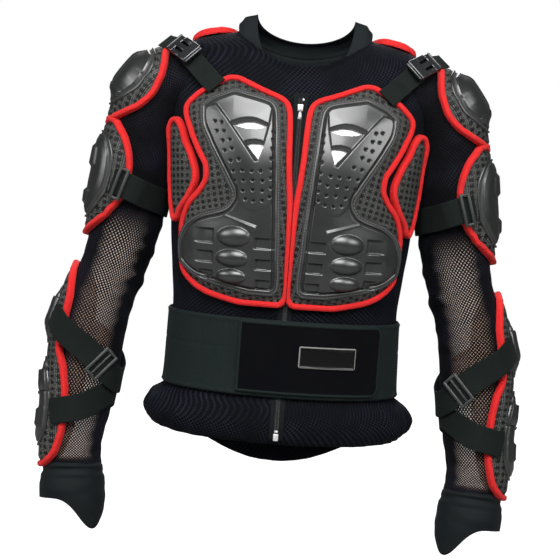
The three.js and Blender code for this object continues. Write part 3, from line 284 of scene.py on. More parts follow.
@dataclass
class BodyChart:
    """The surface that the jacket is worn on: an oval torso with a sleeve flowing into it."""

    sizes: BodySizes = field(default_factory=BodySizes)

    def __post_init__(self) -> None:
        """Lays out the sleeve's centre line."""
        size = self.sizes
        self.torso = np.array(TORSO_ROWS)
        self.arm = np.array(ARM_ROWS)
        self.centres = np.stack(
            [
                size.chest_half + self.arm[:, 0] * size.arm_reach,
                (size.arm_back - self.arm[:, 2]) * size.arm_forward,
                -size.arm_start * size.length - self.arm[:, 1] * size.arm_fall,
            ],
            1,
        )
        self.last = len(self.arm) - 1
        self.table_places = np.linspace(0, self.last, self.last * TABLE_STEPS + 1)
        line = np.array([self._line(place) for place in self.table_places])
        along = unit(np.gradient(line, axis=0))
        out = np.array([1.0, 0.0, 0.0]) - along * along[:, :1]
        out = unit(out)
        ahead = unit(np.cross(along, out))
        ahead *= np.where(ahead[:, 1:2] > 0, -1.0, 1.0)
        index = np.arange(len(self.arm))
        across = through(index, self.arm[:, 3], self.table_places) * size.arm_radius
        deep = through(index, self.arm[:, 4], self.table_places) * size.arm_radius
        self.table = np.concatenate([line, along, out, ahead, across[:, None], deep[:, None]], 1)

    def _line(self, place: float) -> Array:
        """One point of the centripetal curve through the sleeve's centres."""
        points = self.centres
        index = min(int(place), self.last - 1)
        part = place - index
        p1, p2 = points[index], points[index + 1]
        p0 = points[index - 1] if index else 2 * points[0] - points[1]
        p3 = points[index + 2] if index + 2 <= self.last else 2 * points[-1] - points[-2]
        d0, d1, d2 = (float(np.linalg.norm(b - a)) ** 0.5 for a, b in ((p0, p1), (p1, p2), (p2, p3)))
        t1 = ((p1 - p0) / d0 - (p2 - p0) / (d0 + d1) + (p2 - p1) / d1) * d1
        t2 = ((p2 - p1) / d1 - (p3 - p1) / (d1 + d2) + (p3 - p2) / d2) * d1
        square = (-3 * p1 + 3 * p2 - 2 * t1 - t2) * part**2
        return p1 + t1 * part + square + (2 * p1 - 2 * p2 + t1 + t2) * part**3

    @property
    def top(self) -> float:
        """Height of the torso's highest row."""
        return -self.torso[0, 0] * self.sizes.length

    def arm_frame(self, at: Array) -> tuple[Array, Array, Array, Array, Array, Array]:
        """The sleeve's centre, directions along, out and ahead, and its two radii at places along it."""
        at = np.asarray(at, float)
        place = np.clip(at, 0, self.last) * TABLE_STEPS
        index = np.clip(place.astype(int), 0, len(self.table) - 2)
        part = (place - index)[..., None]
        row = self.table[index] * (1 - part) + self.table[index + 1] * part
        centre, along, out, ahead = (row[..., k : k + 3] for k in (0, 3, 6, 9))
        along, out, ahead = unit(along), unit(out), unit(ahead)
        past = (at - np.clip(at, 0, self.last))[..., None]
        return centre + along * past * self.sizes.arm_radius, along, out, ahead, row[..., 12], row[..., 13]

    def arm_point(self, turn: Array, at: Array, grow: Array | float = 0.0) -> Array:
        """A point of the sleeve at a turn, which is 0 on its outer side and 90 in front."""
        centre, _, out, ahead, across, deep = self.arm_frame(at)
        angle = np.radians(turn)
        return (
            centre
            + out * (np.cos(angle) * (across + grow))[..., None]
            + ahead * (np.sin(angle) * (deep + grow))[..., None]
        )

    def torso_section(self, z: Array) -> list[Array]:
        """Half width, front, back, squareness and tail at a height."""
        down = -np.asarray(z, float) / self.sizes.length
        rows = self.torso
        scale = (self.sizes.chest_half, self.sizes.chest_front, self.sizes.chest_back, 1.0, 1.0)
        return [through(rows[:, 0], rows[:, k + 1], down) * scale[k] for k in range(5)]

    def torso_point(self, turn: Array, z: Array, grow: Array | float = 0.0) -> Array:
        """A point of the torso at a turn, which is 0 at the wearer's left side and 90 in front."""
        half, front, back, square, _ = self.torso_section(z)
        c, s = np.cos(np.radians(turn)), np.sin(np.radians(turn))
        depth = np.where(s > 0, front, back) + grow
        power = 2.0 / square
        x = (half + grow) * np.sign(c) * np.abs(c) ** power
        y = -depth * np.sign(s) * np.abs(s) ** power
        return np.stack([x, y, np.broadcast_to(z, x.shape)], -1)

    def turn_across(self, x: Array, z: Array) -> Array:
        """The torso's turn at a place across the front."""
        half, _, _, square, _ = self.torso_section(z)
        turn = np.degrees(np.arccos(np.clip(np.abs(x) / half, 0, 0.995) ** (square / 2)))
        return np.where(np.asarray(x) < 0, 180 - turn, turn)

    def torso_reach(self, p: Array) -> Array:
        """About how far points lie outside the torso."""
        half, front, back, square, _ = self.torso_section(p[..., 2])
        depth = np.where(p[..., 1] < 0, front, back)
        ratio = (np.abs(p[..., 0] / half) ** square + np.abs(p[..., 1] / depth) ** square) ** (1 / square)
        reach = np.hypot(p[..., 0], p[..., 1]) * (1 - 1 / np.maximum(ratio, 0.05))
        above = np.hypot(np.maximum(reach, 0), p[..., 2] - self.top)
        return np.where(p[..., 2] > self.top, above, reach)

    def sleeve_reach(self, p: Array) -> Array:
        """About how far points lie outside the sleeve."""
        samples = self.table[::SEARCH_STRIDE]
        flat = p.reshape(-1, 3)
        away = ((flat[:, None, :] - samples[None, :, :3]) ** 2).sum(-1)
        nearest = away.argmin(1)
        row = samples[nearest]
        shift = ((flat - row[:, :3]) * row[:, 3:6]).sum(1)
        per_row = TABLE_STEPS / SEARCH_STRIDE
        at = nearest / per_row + np.clip(shift / self.sizes.arm_radius, -0.5, 0.5) / per_row
        centre, _, out, ahead, across, deep = self.arm_frame(at)
        a, b = ((flat - centre) * out).sum(1), ((flat - centre) * ahead).sum(1)
        ratio = np.hypot(a / across, b / deep)
        return (np.hypot(a, b) * (1 - 1 / np.maximum(ratio, 0.05))).reshape(p.shape[:-1])

    @staticmethod
    def slope(reach: Callable[[Array], Array], p: Array) -> Array:
        """The direction and rate in which a reach grows."""
        parts = []
        for axis in range(3):
            step = np.zeros(3)
            step[axis] = 0.5
            parts.append(reach(p + step) - reach(p - step))
        return np.stack(parts, -1)

    def reach(self, p: Array) -> Array:
        """How far points lie outside torso and sleeve together, with a soft hollow where they meet."""
        mirrored = p * np.where(p[..., :1] < 0, np.array([-1.0, 1, 1]), 1.0)
        parts = []
        for reach in (self.torso_reach, self.sleeve_reach):
            steep = np.maximum(np.linalg.norm(self.slope(reach, mirrored), axis=-1), 0.35)
            parts.append(reach(mirrored) / steep)
        torso, sleeve = parts
        blend = self.sizes.blend
        share = np.clip(0.5 + 0.5 * (sleeve - torso) / blend, 0, 1)
        return sleeve + (torso - sleeve) * share - blend * share * (1 - share)

    def land(self, start: Array, towards: Array) -> Spots:
        """The places where lines towards the body meet it."""
        way = unit(towards - start)
        place = start.copy()
        for _ in range(34):
            left = self.reach(place)
            place = place + way * (np.clip(left, -8, 20) * 0.7)[..., None]
            if float(np.abs(left).max()) < 0.05:
                break
        return Spots(place, unit(self.slope(self.reach, place)))

    def on_front(self, x: Array, z: Array) -> Spots:
        """Places on the front named by how far across and down they lie."""
        turn = self.turn_across(x, z)
        return self.land(self.torso_point(turn, z, 60.0), self.torso_point(turn, z, -20.0))

    def on_sleeve(self, turn: Array, at: Array) -> Spots:
        """Places on the sleeve and shoulder."""
        return self.land(self.arm_point(turn, at, 60.0), self.arm_point(turn, at, -20.0))

    def round_sleeve(self, turn: Array, at: Array) -> Spots:
        """Places on the sleeve alone, for what goes round it inside the armpit."""
        along = self.arm_point(turn, at + 0.2) - self.arm_point(turn, at - 0.2)
        around = self.arm_point(turn + 3, at) - self.arm_point(turn - 3, at)
        return Spots(self.arm_point(turn, at), unit(np.cross(around, along)))

    def on_back(self, x: Array, drop: Array) -> Spots:
        """Places on the back, with drops counted from over the shoulder's ridge."""
        radius = 60.0
        ridge = self.top - radius
        quarter = math.pi / 2 * radius
        aim = np.stack([x, np.zeros_like(x), ridge - np.maximum(0, drop - quarter)], -1)
        lift = np.clip(1 - drop / quarter, 0, 1) * (math.pi / 2)
        way = np.stack([np.zeros_like(lift), np.cos(lift), np.sin(lift)], -1)
        return self.land(aim + way * (self.sizes.chest_back + 60.0), aim)

    def front_grid(self, table: Array, rows: int, columns: int) -> Spots:
        """The grid of a front piece from its rows of down, inner and outer shares."""
        down = np.linspace(table[0, 0], table[-1, 0], rows)
        inner = through(table[:, 0], table[:, 1], down)
        outer = through(table[:, 0], table[:, 2], down)
        share = np.linspace(0, 1, columns)[None, :]
        x = (inner[:, None] + (outer - inner)[:, None] * share) * self.sizes.chest_half
        z = np.broadcast_to(-down[:, None] * self.sizes.length, x.shape)
        return self.on_front(x, z)

    def sleeve_grid(self, table: Array, rows: int, columns: int) -> Spots:
        """The grid of a sleeve piece, running from its front edge round the outer side to the back."""
        at = np.linspace(table[0, 0], table[-1, 0], rows)
        front = through(table[:, 0], table[:, 1], at)
        back = through(table[:, 0], table[:, 2], at)
        share = np.linspace(0, 1, columns)[None, :]
        turn = front[:, None] - (front + back)[:, None] * share
        return self.on_sleeve(turn, np.broadcast_to(at[:, None], turn.shape))


# Meshes


@dataclass
class Sheeting:
    """Points, faces and surface coordinates on their way to a mesh."""

    points: Array
    faces: Array
    chart: Array
    rim: Optional[Array] = None
    tone: Optional[Array] = None

    @staticmethod
    def grid(
        points: Array, chart: Array, ringed: bool = False, closed: bool = False, **extra: Array
    ) -> "Sheeting":
        """One sheet over a grid of points.

        Args:
            points: The grid.
            chart: Surface coordinates in millimetres.
            ringed: Whether the last column meets the first.
            closed: Whether the last row meets the first.
            extra: Further values of the points.

        Returns:
            The sheet.
        """
        rows, columns = points.shape[:2]
        span = columns if ringed else columns - 1
        r, c = np.meshgrid(np.arange(rows if closed else rows - 1), np.arange(span), indexing="ij")
        after, below = (c + 1) % columns, (r + 1) % rows
        corners = ((r, c), (r, after), (below, after), (below, c))
        faces = np.stack([row * columns + column for row, column in corners], -1)
        flat = {key: value.reshape(rows * columns, -1) for key, value in extra.items()}
        tone = flat.get("tone")
        return Sheeting(
            points.reshape(-1, 3),
            faces.reshape(-1, 4),
            chart.reshape(-1, 2),
            flat.get("rim"),
            None if tone is None else tone[:, 0],
        )

    @staticmethod
    def lidded(top: Array, under: Array, chart: Array, **extra: Array) -> "Sheeting":
        """One sheet over a grid whose outermost points turn down to the places under it."""
        wide, fields = skirted(top, under, chart=chart, **extra)
        return Sheeting.grid(wide, fields.pop("chart"), **fields)

    def kept(self, keep: Array) -> "Sheeting":
        """The same sheet with only some of its faces."""
        return Sheeting(self.points, self.faces[keep], self.chart, self.rim, self.tone)

    def mirrored(self) -> "Sheeting":
        """The same sheet for the other side of the body."""
        points = self.points * np.array([-1.0, 1, 1])
        return Sheeting(points, self.faces[:, ::-1], self.chart, self.rim, self.tone)

    def joined(self, *others: "Sheeting") -> "Sheeting":
        """Several sheets as one, which keep their own points."""
        parts = [self, *others]
        start = np.cumsum([0] + [len(part.points) for part in parts[:-1]])
        return Sheeting(
            np.concatenate([part.points for part in parts]),
            np.concatenate([part.faces + shift for part, shift in zip(parts, start)]),
            np.concatenate([part.chart for part in parts]),
            None if self.rim is None else np.concatenate([part.rim for part in parts]),
            None if self.tone is None else np.concatenate([part.tone for part in parts]),
        )

    def mesh(self, name: str, material: bpy.types.Material, crisp: bool = False) -> bpy.types.Object:
        """Makes the Blender object, in metres and in the frame's heights.

        Args:
            name: The piece's name.
            material: Its finish.
            crisp: Whether sharp edges stay sharp.

        Returns:
            The linked object.
        """
        place = (self.points + np.array([0.0, 0.0, SHOULDER_DROP])) * MILLIMETRE
        data = bpy.data.meshes.new(name)
        data.vertices.add(len(place))
        data.vertices.foreach_set("co", place.astype(np.float32).ravel())
        loops = self.faces.ravel().astype(np.int32)
        data.loops.add(len(loops))
        data.loops.foreach_set("vertex_index", loops)
        data.polygons.add(len(self.faces))
        data.polygons.foreach_set("loop_start", (np.arange(len(self.faces)) * 4).astype(np.int32))
        data.update(calc_edges=True)
        data.validate()
        corner = np.zeros(len(data.loops), np.int32)
        data.loops.foreach_get("vertex_index", corner)
        for label, values in (("chart", self.chart), ("rim", self.rim)):
            if values is not None:
                layer = data.uv_layers.new(name=label)
                layer.data.foreach_set("uv", (values[corner] * MILLIMETRE).astype(np.float32).ravel())
        if self.tone is not None:
            tone = data.attributes.new("tone", "FLOAT", "POINT")
            tone.data.foreach_set("value", self.tone.astype(np.float32))
        used = np.zeros(len(place), bool)
        used[corner] = True
        piece = bpy.data.objects.new(name, data)
        bpy.context.scene.collection.objects.link(piece)
        data.materials.append(material)
        data.polygons.foreach_set("use_smooth", [True] * len(data.polygons))
        if crisp:
            data.set_sharp_from_angle(angle=math.radians(SMOOTH_ANGLE))
        if not used.all():
            drop_loose(data)
        return piece


def drop_loose(data: bpy.types.Mesh) -> None:
    """Removes vertices that no face uses."""
    work = bmesh.new()
    work.from_mesh(data)
    bmesh.ops.delete(work, geom=[v for v in work.verts if not v.link_faces], context="VERTS")
    work.to_mesh(data)
    work.free()


def arc_lengths(points: Array, axis: int) -> Array:
    """Distance walked along a grid's axis from its first points."""
    steps = np.linalg.norm(np.diff(points, axis=axis), axis=-1)
    zero = np.zeros_like(np.take(steps, [0], axis))
    return np.concatenate([zero, np.cumsum(steps, axis=axis)], axis)


def ring_lengths(points: Array) -> Array:
    """Distance walked round each closed row of a grid."""
    return arc_lengths(np.concatenate([points, points[:, :1]], 1), 1)[:, :-1]


def even_turns(count: int) -> Array:
    """Even turns round a ring, in degrees."""
    return np.arange(count) * (360.0 / count)


def chart_of(points: Array) -> Array:
    """Surface coordinates in millimetres, square to the piece's length and measured from its middle."""
    down = unit(points[-1].mean(0) - points[0].mean(0))
    aside = points[:, -1].mean(0) - points[:, 0].mean(0)
    across = unit(aside - down * (aside @ down))
    part = points - points.reshape(-1, 3).mean(0)
    wide, long, deep = part @ across, part @ down, part @ np.cross(down, across)
    rows = np.arange(len(points))
    near = np.abs(wide).argmin(1)
    run = wide - wide[rows, near][:, None]
    wide = wide[rows, near][:, None] + np.sign(run) * np.hypot(run, deep - deep[rows, near][:, None])
    walked = arc_lengths(points, 0)[:, points.shape[1] // 2]
    along = np.maximum.accumulate(long[:, points.shape[1] // 2]) + np.arange(len(points)) * 1e-6
    return np.stack([wide, np.interp(long, along, walked)], -1)


def even_loop(spots: Spots, step: float, soften: float) -> Spots:
    """A closed loop at even steps with its corners softened."""
    place = np.concatenate([spots.place, spots.place[:1]])
    out = np.concatenate([spots.out, spots.out[:1]])
    walked = np.concatenate([[0.0], np.cumsum(np.linalg.norm(np.diff(place, axis=0), axis=1))])
    keep = np.concatenate([[True], np.diff(walked) > 1e-6])
    count = max(24, int(walked[-1] / step))
    at = np.linspace(0, walked[-1], count, endpoint=False)
    place, out = (
        np.stack([np.interp(at, walked[keep], values[keep][:, k]) for k in range(3)], 1)
        for values in (place, out)
    )
    reach = max(1, int(round(soften / step * 3)))
    offsets = np.arange(-reach, reach + 1)
    weight = np.exp(-0.5 * (offsets * step / soften) ** 2)
    weight /= weight.sum()
    place, out = (sum(w * np.roll(values, -o, 0) for w, o in zip(weight, offsets)) for values in (place, out))
    return Spots(place, unit(out))


def loop_ways(loop: Spots) -> Array:
    """The direction out of a loop at each of its places, within the surface."""
    along = unit(np.roll(loop.place, -1, 0) - np.roll(loop.place, 1, 0))
    ways = unit(np.cross(along, loop.out))
    middle = loop.place.mean(0)
    if float((ways * (loop.place - middle)).sum()) < 0:
        ways = -ways
    return ways


class EdgeFinder:
    """Tells how far places lie from a loop and how far along it."""

    def __init__(self, loop: Array) -> None:
        """Stores the loop's points in a search tree."""
        closed = np.concatenate([loop, loop[:1]])
        walked = np.concatenate([[0.0], np.cumsum(np.linalg.norm(np.diff(closed, axis=0), axis=1))])
        at = np.linspace(0, walked[-1], int(walked[-1] / 0.6), endpoint=False)
        keep = np.concatenate([[True], np.diff(walked) > 1e-6])
        fine = np.stack([np.interp(at, walked[keep], closed[keep][:, k]) for k in range(3)], 1)
        self.along = at
        self.tree = KDTree(len(fine))
        for i, p in enumerate(fine):
            self.tree.insert(p, i)
        self.tree.balance()

    def fields(self, points: Array) -> tuple[Array, Array]:
        """Distance from the loop and the walked length at the nearest place."""
        flat = points.reshape(-1, 3)
        found = [self.tree.find(p) for p in flat]
        distance = np.array([f[2] for f in found]).reshape(points.shape[:-1])
        along = self.along[np.array([f[1] for f in found])].reshape(points.shape[:-1])
        return distance, along


def edge_fields(spots: Spots) -> tuple[Array, Array]:
    """How far a grid's places lie from its edge, and the rim's coordinates along the edge and in from it."""
    distance, along = EdgeFinder(spots.edge().place).fields(spots.place)
    return distance, np.stack([along, distance], -1)


def skirted(top: Array, under: Array, **fields: Array) -> tuple[Array, dict[str, Array]]:
    """Adds a turned-down rim to a grid, its outermost rows and columns dropping to the places under it."""

    def ring(grid: Array) -> Array:
        pad = [(1, 1), (1, 1)] + [(0, 0)] * (grid.ndim - 2)
        return np.pad(grid, pad, mode="edge")

    wide, low = ring(top), ring(under)
    edge = np.ones(wide.shape[:2], bool)
    edge[1:-1, 1:-1] = False
    wide[edge] = low[edge]
    return wide, {key: ring(value) for key, value in fields.items()}


# Shader building


class Nodes:
    """A small helper for building node trees."""

    def __init__(self, tree: bpy.types.NodeTree) -> None:
        """Works on one tree."""
        self.tree = tree
        self.column = 0

    def add(self, kind: str, **values: object) -> bpy.types.Node:
        """Adds a node and sets its properties."""
        node = self.tree.nodes.new(kind)
        node.location = (self.column * 180, -(self.column % 5) * 160)
        self.column += 1
        for key, value in values.items():
            setattr(node, key, value)
        return node

    def link(self, source: bpy.types.NodeSocket, target: bpy.types.NodeSocket) -> None:
        """Joins two sockets."""
        self.tree.links.new(source, target)

    def math(self, operation: str, *inputs: object, clamp: bool = False) -> bpy.types.NodeSocket:
        """A math node over sockets or numbers."""
        node = self.add("ShaderNodeMath", operation=operation, use_clamp=clamp)
        for socket, value in zip(node.inputs, inputs):
            if isinstance(value, bpy.types.NodeSocket):
                self.link(value, socket)
            else:
                socket.default_value = float(value)
        return node.outputs[0]

    def length(self, x: bpy.types.NodeSocket, y: bpy.types.NodeSocket) -> bpy.types.NodeSocket:
        """The distance of a place from where both values are 0."""
        return self.math("SQRT", self.math("ADD", self.math("MULTIPLY", x, x), self.math("MULTIPLY", y, y)))

    def ramp(self, value: bpy.types.NodeSocket, low: float, high: float) -> bpy.types.NodeSocket:
        """Eases a value from 0 at low to 1 at high."""
        node = self.add("ShaderNodeMapRange", interpolation_type="SMOOTHSTEP")
        self.link(value, node.inputs["Value"])
        node.inputs["From Min"].default_value = low
        node.inputs["From Max"].default_value = high
        return node.outputs["Result"]

    def mix(self, factor: object, first: object, second: object) -> bpy.types.NodeSocket:
        """Mixes two colours."""
        node = self.add("ShaderNodeMix", data_type="RGBA")
        for socket, value in ((node.inputs[0], factor), (node.inputs[6], first), (node.inputs[7], second)):
            if isinstance(value, bpy.types.NodeSocket):
                self.link(value, socket)
            elif socket == node.inputs[0]:
                socket.default_value = float(value)
            else:
                socket.default_value = (*value, 1.0)
        return node.outputs[2]


@dataclass(frozen=True)
class Effect:
    """A named shader node group with its inputs and outputs."""

    name: str
    inputs: tuple[tuple[str, str, float], ...]
    outputs: tuple[tuple[str, str], ...]

    def begin(self) -> tuple[bpy.types.NodeTree, Nodes, bpy.types.Node, bpy.types.Node]:
        """Makes the empty group with its sockets."""
        tree = bpy.data.node_groups.new(self.name, "ShaderNodeTree")
        for label, kind, value in self.inputs:
            socket = tree.interface.new_socket(name=label, in_out="INPUT", socket_type=kind)
            if kind == "NodeSocketFloat":
                socket.default_value = value
        for label, kind in self.outputs:
            tree.interface.new_socket(name=label, in_out="OUTPUT", socket_type=kind)
        nodes = Nodes(tree)
        return tree, nodes, nodes.add("NodeGroupInput"), nodes.add("NodeGroupOutput")


FLOAT, VECTOR, COLOUR = "NodeSocketFloat", "NodeSocketVector", "NodeSocketColor"


class Effects:
    """The shared effects, each built once."""

    def __init__(self) -> None:
        """Builds every group."""
        self.holes = self._holes()
        self.weave = self._weave()
        self.stars = self._stars()
        self.dashes = self._dashes()
        self.grain = self._grain()
        # Painted highlights in random patches on the moulded shells.
        self.highlight_patches = self._highlight_patches()

    @staticmethod
    def _cell(nodes: Nodes, vector: bpy.types.NodeSocket, shift: float) -> tuple:
        """Distances from the middle of a repeating cell, across and along."""
        parts = nodes.add("ShaderNodeSeparateXYZ")
        nodes.link(vector, parts.inputs[0])
        found = []
        for axis in (0, 1):
            moved = nodes.math("ADD", parts.outputs[axis], shift)
            found.append(nodes.math("SUBTRACT", nodes.math("FRACT", moved), 0.5))
        return found[0], found[1]

    @staticmethod
    def _scaled(nodes: Nodes, given: bpy.types.Node, across: str, along: str) -> bpy.types.NodeSocket:
        """The group's surface coordinates counted in cells of its named sizes."""
        size = nodes.add("ShaderNodeCombineXYZ")
        nodes.link(given.outputs[across], size.inputs[0])
        nodes.link(given.outputs[along], size.inputs[1])
        size.inputs[2].default_value = 1.0
        scaled = nodes.add("ShaderNodeVectorMath", operation="DIVIDE")
        nodes.link(given.outputs["Chart"], scaled.inputs[0])
        nodes.link(size.outputs[0], scaled.inputs[1])
        return scaled.outputs[0]

    def _holes(self) -> bpy.types.NodeTree:
        """Staggered round holes of an open knit."""
        effect = Effect(
            "knit_holes",
            (
                ("Chart", VECTOR, 0), ("Across", FLOAT, 0.005),
                ("Along", FLOAT, 0.005), ("Radius", FLOAT, 0.26),
            ),
            (("Hole", FLOAT), ("Height", FLOAT)),
        )
        tree, nodes, given, put = effect.begin()
        cells = self._scaled(nodes, given, "Across", "Along")
        near = []
        for shift in (0.0, 0.5):
            x, y = self._cell(nodes, cells, shift)
            near.append(nodes.length(x, y))
        nearest = nodes.math("MINIMUM", near[0], near[1])
        outside = nodes.math("SUBTRACT", nearest, given.outputs["Radius"])
        nodes.link(nodes.math("SUBTRACT", 1.0, nodes.ramp(outside, -0.04, 0.04)), put.inputs["Hole"])
        nodes.link(nodes.ramp(outside, -0.06, 0.2), put.inputs["Height"])
        return tree

    def _weave(self) -> bpy.types.NodeTree:
        """Fine ribs one way crossed by finer ones the other way."""
        effect = Effect(
            "crossed_ribs",
            (
                ("Chart", VECTOR, 0), ("Across", FLOAT, 0.001),
                ("Along", FLOAT, 0.0006), ("Balance", FLOAT, 0.5),
            ),
            (("Height", FLOAT), ("Tone", FLOAT)),
        )
        tree, nodes, given, put = effect.begin()
        cells = self._scaled(nodes, given, "Across", "Along")
        parts = nodes.add("ShaderNodeSeparateXYZ")
        nodes.link(cells, parts.inputs[0])
        waves = [
            nodes.math("ABSOLUTE", nodes.math("SINE", nodes.math("MULTIPLY", parts.outputs[axis], math.pi)))
            for axis in (0, 1)
        ]
        first = nodes.math("MULTIPLY", waves[0], given.outputs["Balance"])
        second = nodes.math("MULTIPLY", waves[1], nodes.math("SUBTRACT", 1.0, given.outputs["Balance"]))
        height = nodes.math("ADD", first, second)
        nodes.link(height, put.inputs["Height"])
        noise = nodes.add("ShaderNodeTexNoise")
        noise.inputs["Scale"].default_value = 0.5
        noise.inputs["Detail"].default_value = 3.0
        nodes.link(cells, noise.inputs["Vector"])
        nodes.link(noise.outputs["Fac"], put.inputs["Tone"])
        return tree

    def _stars(self) -> bpy.types.NodeTree:
        """Star-shaped holes in a gridded spacer mesh."""
        effect = Effect(
            "star_holes",
            (("Chart", VECTOR, 0), ("Pitch", FLOAT, 0.0093), ("Yarn", FLOAT, 0.0019)),
            (("Star", FLOAT), ("Yarn", FLOAT), ("Height", FLOAT)),
        )
        tree, nodes, given, put = effect.begin()
        cells = self._scaled(nodes, given, "Pitch", "Pitch")
        x, y = self._cell(nodes, cells, 0.0)
        radius = nodes.length(x, y)
        wave = nodes.math("COSINE", nodes.math("MULTIPLY", nodes.math("ARCTAN2", y, x), 6.0))
        limit = nodes.math("ADD", nodes.math("MULTIPLY", wave, 0.09), 0.31)
        star = nodes.math("SUBTRACT", 1.0, nodes.ramp(nodes.math("SUBTRACT", radius, limit), -0.04, 0.04))
        fine = self._scaled(nodes, given, "Yarn", "Yarn")
        x, y = self._cell(nodes, fine, 0.0)
        lines = nodes.math("MAXIMUM", nodes.math("ABSOLUTE", x), nodes.math("ABSOLUTE", y))
        yarn = nodes.ramp(lines, 0.31, 0.44)
        nodes.link(star, put.inputs["Star"])
        nodes.link(nodes.math("MULTIPLY", yarn, nodes.math("SUBTRACT", 1.0, star)), put.inputs["Yarn"])
        base = nodes.math("ADD", nodes.math("MULTIPLY", yarn, 0.35), 0.65)
        nodes.link(nodes.math("MULTIPLY", base, nodes.math("SUBTRACT", 1.0, star)), put.inputs["Height"])
        return tree

    def _dashes(self) -> bpy.types.NodeTree:
        """A line of stitches at a distance from an edge."""
        effect = Effect(
            "edge_stitches",
            (
                ("Rim", VECTOR, 0), ("Inset", FLOAT, 0.0065),
                ("Length", FLOAT, 0.0036), ("Width", FLOAT, 0.0007),
            ),
            (("Stitch", FLOAT),),
        )
        tree, nodes, given, put = effect.begin()
        parts = nodes.add("ShaderNodeSeparateXYZ")
        nodes.link(given.outputs["Rim"], parts.inputs[0])
        run = nodes.math("FRACT", nodes.math("DIVIDE", parts.outputs[0], given.outputs["Length"]))
        from_middle = nodes.math("ABSOLUTE", nodes.math("SUBTRACT", run, 0.5))
        dash = nodes.ramp(nodes.math("SUBTRACT", 0.33, from_middle), 0.0, 0.06)
        off = nodes.math("ABSOLUTE", nodes.math("SUBTRACT", parts.outputs[1], given.outputs["Inset"]))
        off = nodes.math("DIVIDE", off, given.outputs["Width"])
        line = nodes.ramp(nodes.math("SUBTRACT", 1.0, off), 0.0, 0.5)
        nodes.link(nodes.math("MULTIPLY", dash, line), put.inputs["Stitch"])
        return tree

    def _grain(self) -> bpy.types.NodeTree:
        """Fine moulding grain with slow cloudy variation."""
        effect = Effect(
            "moulding_grain",
            (("Fine", FLOAT, 900.0), ("Broad", FLOAT, 14.0)),
            (("Height", FLOAT), ("Cloud", FLOAT)),
        )
        tree, nodes, given, put = effect.begin()
        place = nodes.add("ShaderNodeTexCoord")
        for label, detail, output in (("Fine", 2.0, "Height"), ("Broad", 4.0, "Cloud")):
            noise = nodes.add("ShaderNodeTexNoise")
            nodes.link(place.outputs["Object"], noise.inputs["Vector"])
            nodes.link(given.outputs[label], noise.inputs["Scale"])
            noise.inputs["Detail"].default_value = detail
            nodes.link(noise.outputs["Fac"], put.inputs[output])
        return tree

    def _highlight_patches(self) -> bpy.types.NodeTree:
        """Painted highlights, in random patches, where a moulded form stands proud."""
        effect = Effect("patchy_painted_highlight", (("Tone", FLOAT, 0.0), ("Cloud", FLOAT, 0.5)), (("Highlight", FLOAT),))
        tree, nodes, given, put = effect.begin()
        patchy = nodes.ramp(given.outputs["Cloud"], 0.42, 0.62)
        proud = nodes.ramp(given.outputs["Tone"], 0.35, 1.0)
        nodes.link(nodes.math("MULTIPLY", patchy, proud), put.inputs["Highlight"])
        return tree


class FinishTools:
    """What each finish uses to build its material."""

    def __init__(self, effects: Effects) -> None:
        """Keeps the shared effects."""
        self.effects = effects

    def start(self, name: str) -> tuple[bpy.types.Material, Nodes, bpy.types.Node]:
        """A new material with its Principled shader."""
        material = bpy.data.materials.new(name)
        material.use_nodes = True
        nodes = Nodes(material.node_tree)
        shader = material.node_tree.nodes["Principled BSDF"]
        return material, nodes, shader

    @staticmethod
    def uv(nodes: Nodes, name: str) -> bpy.types.NodeSocket:
        """The surface coordinates of that name."""
        return nodes.add("ShaderNodeUVMap", uv_map=name).outputs["UV"]

    @staticmethod
    def place(nodes: Nodes, group: bpy.types.NodeTree, **values: object) -> bpy.types.Node:
        """Places a shared effect with its own values."""
        node = nodes.add("ShaderNodeGroup", node_tree=group)
        for key, value in values.items():
            socket = node.inputs[key]
            if isinstance(value, bpy.types.NodeSocket):
                nodes.link(value, socket)
            else:
                socket.default_value = float(value)
        return node

    @staticmethod
    def give(shader: bpy.types.Node, **values: object) -> None:
        """Sets a shader's constant values, underscores standing for spaces."""
        for key, value in values.items():
            shader.inputs[key.replace("_", " ")].default_value = value

    @staticmethod
    def relief(
        nodes: Nodes, shader: bpy.types.Node, *layers: tuple[bpy.types.NodeSocket, float, float]
    ) -> None:
        """Feeds height layers, each with a strength and a distance in metres, to the shader's normal."""
        normal = None
        for height, strength, distance in layers:
            node = nodes.add("ShaderNodeBump")
            node.inputs["Strength"].default_value = strength
            node.inputs["Distance"].default_value = distance
            nodes.link(height, node.inputs["Height"])
            if normal is not None:
                nodes.link(normal, node.inputs["Normal"])
            normal = node.outputs["Normal"]
        nodes.link(normal, shader.inputs["Normal"])


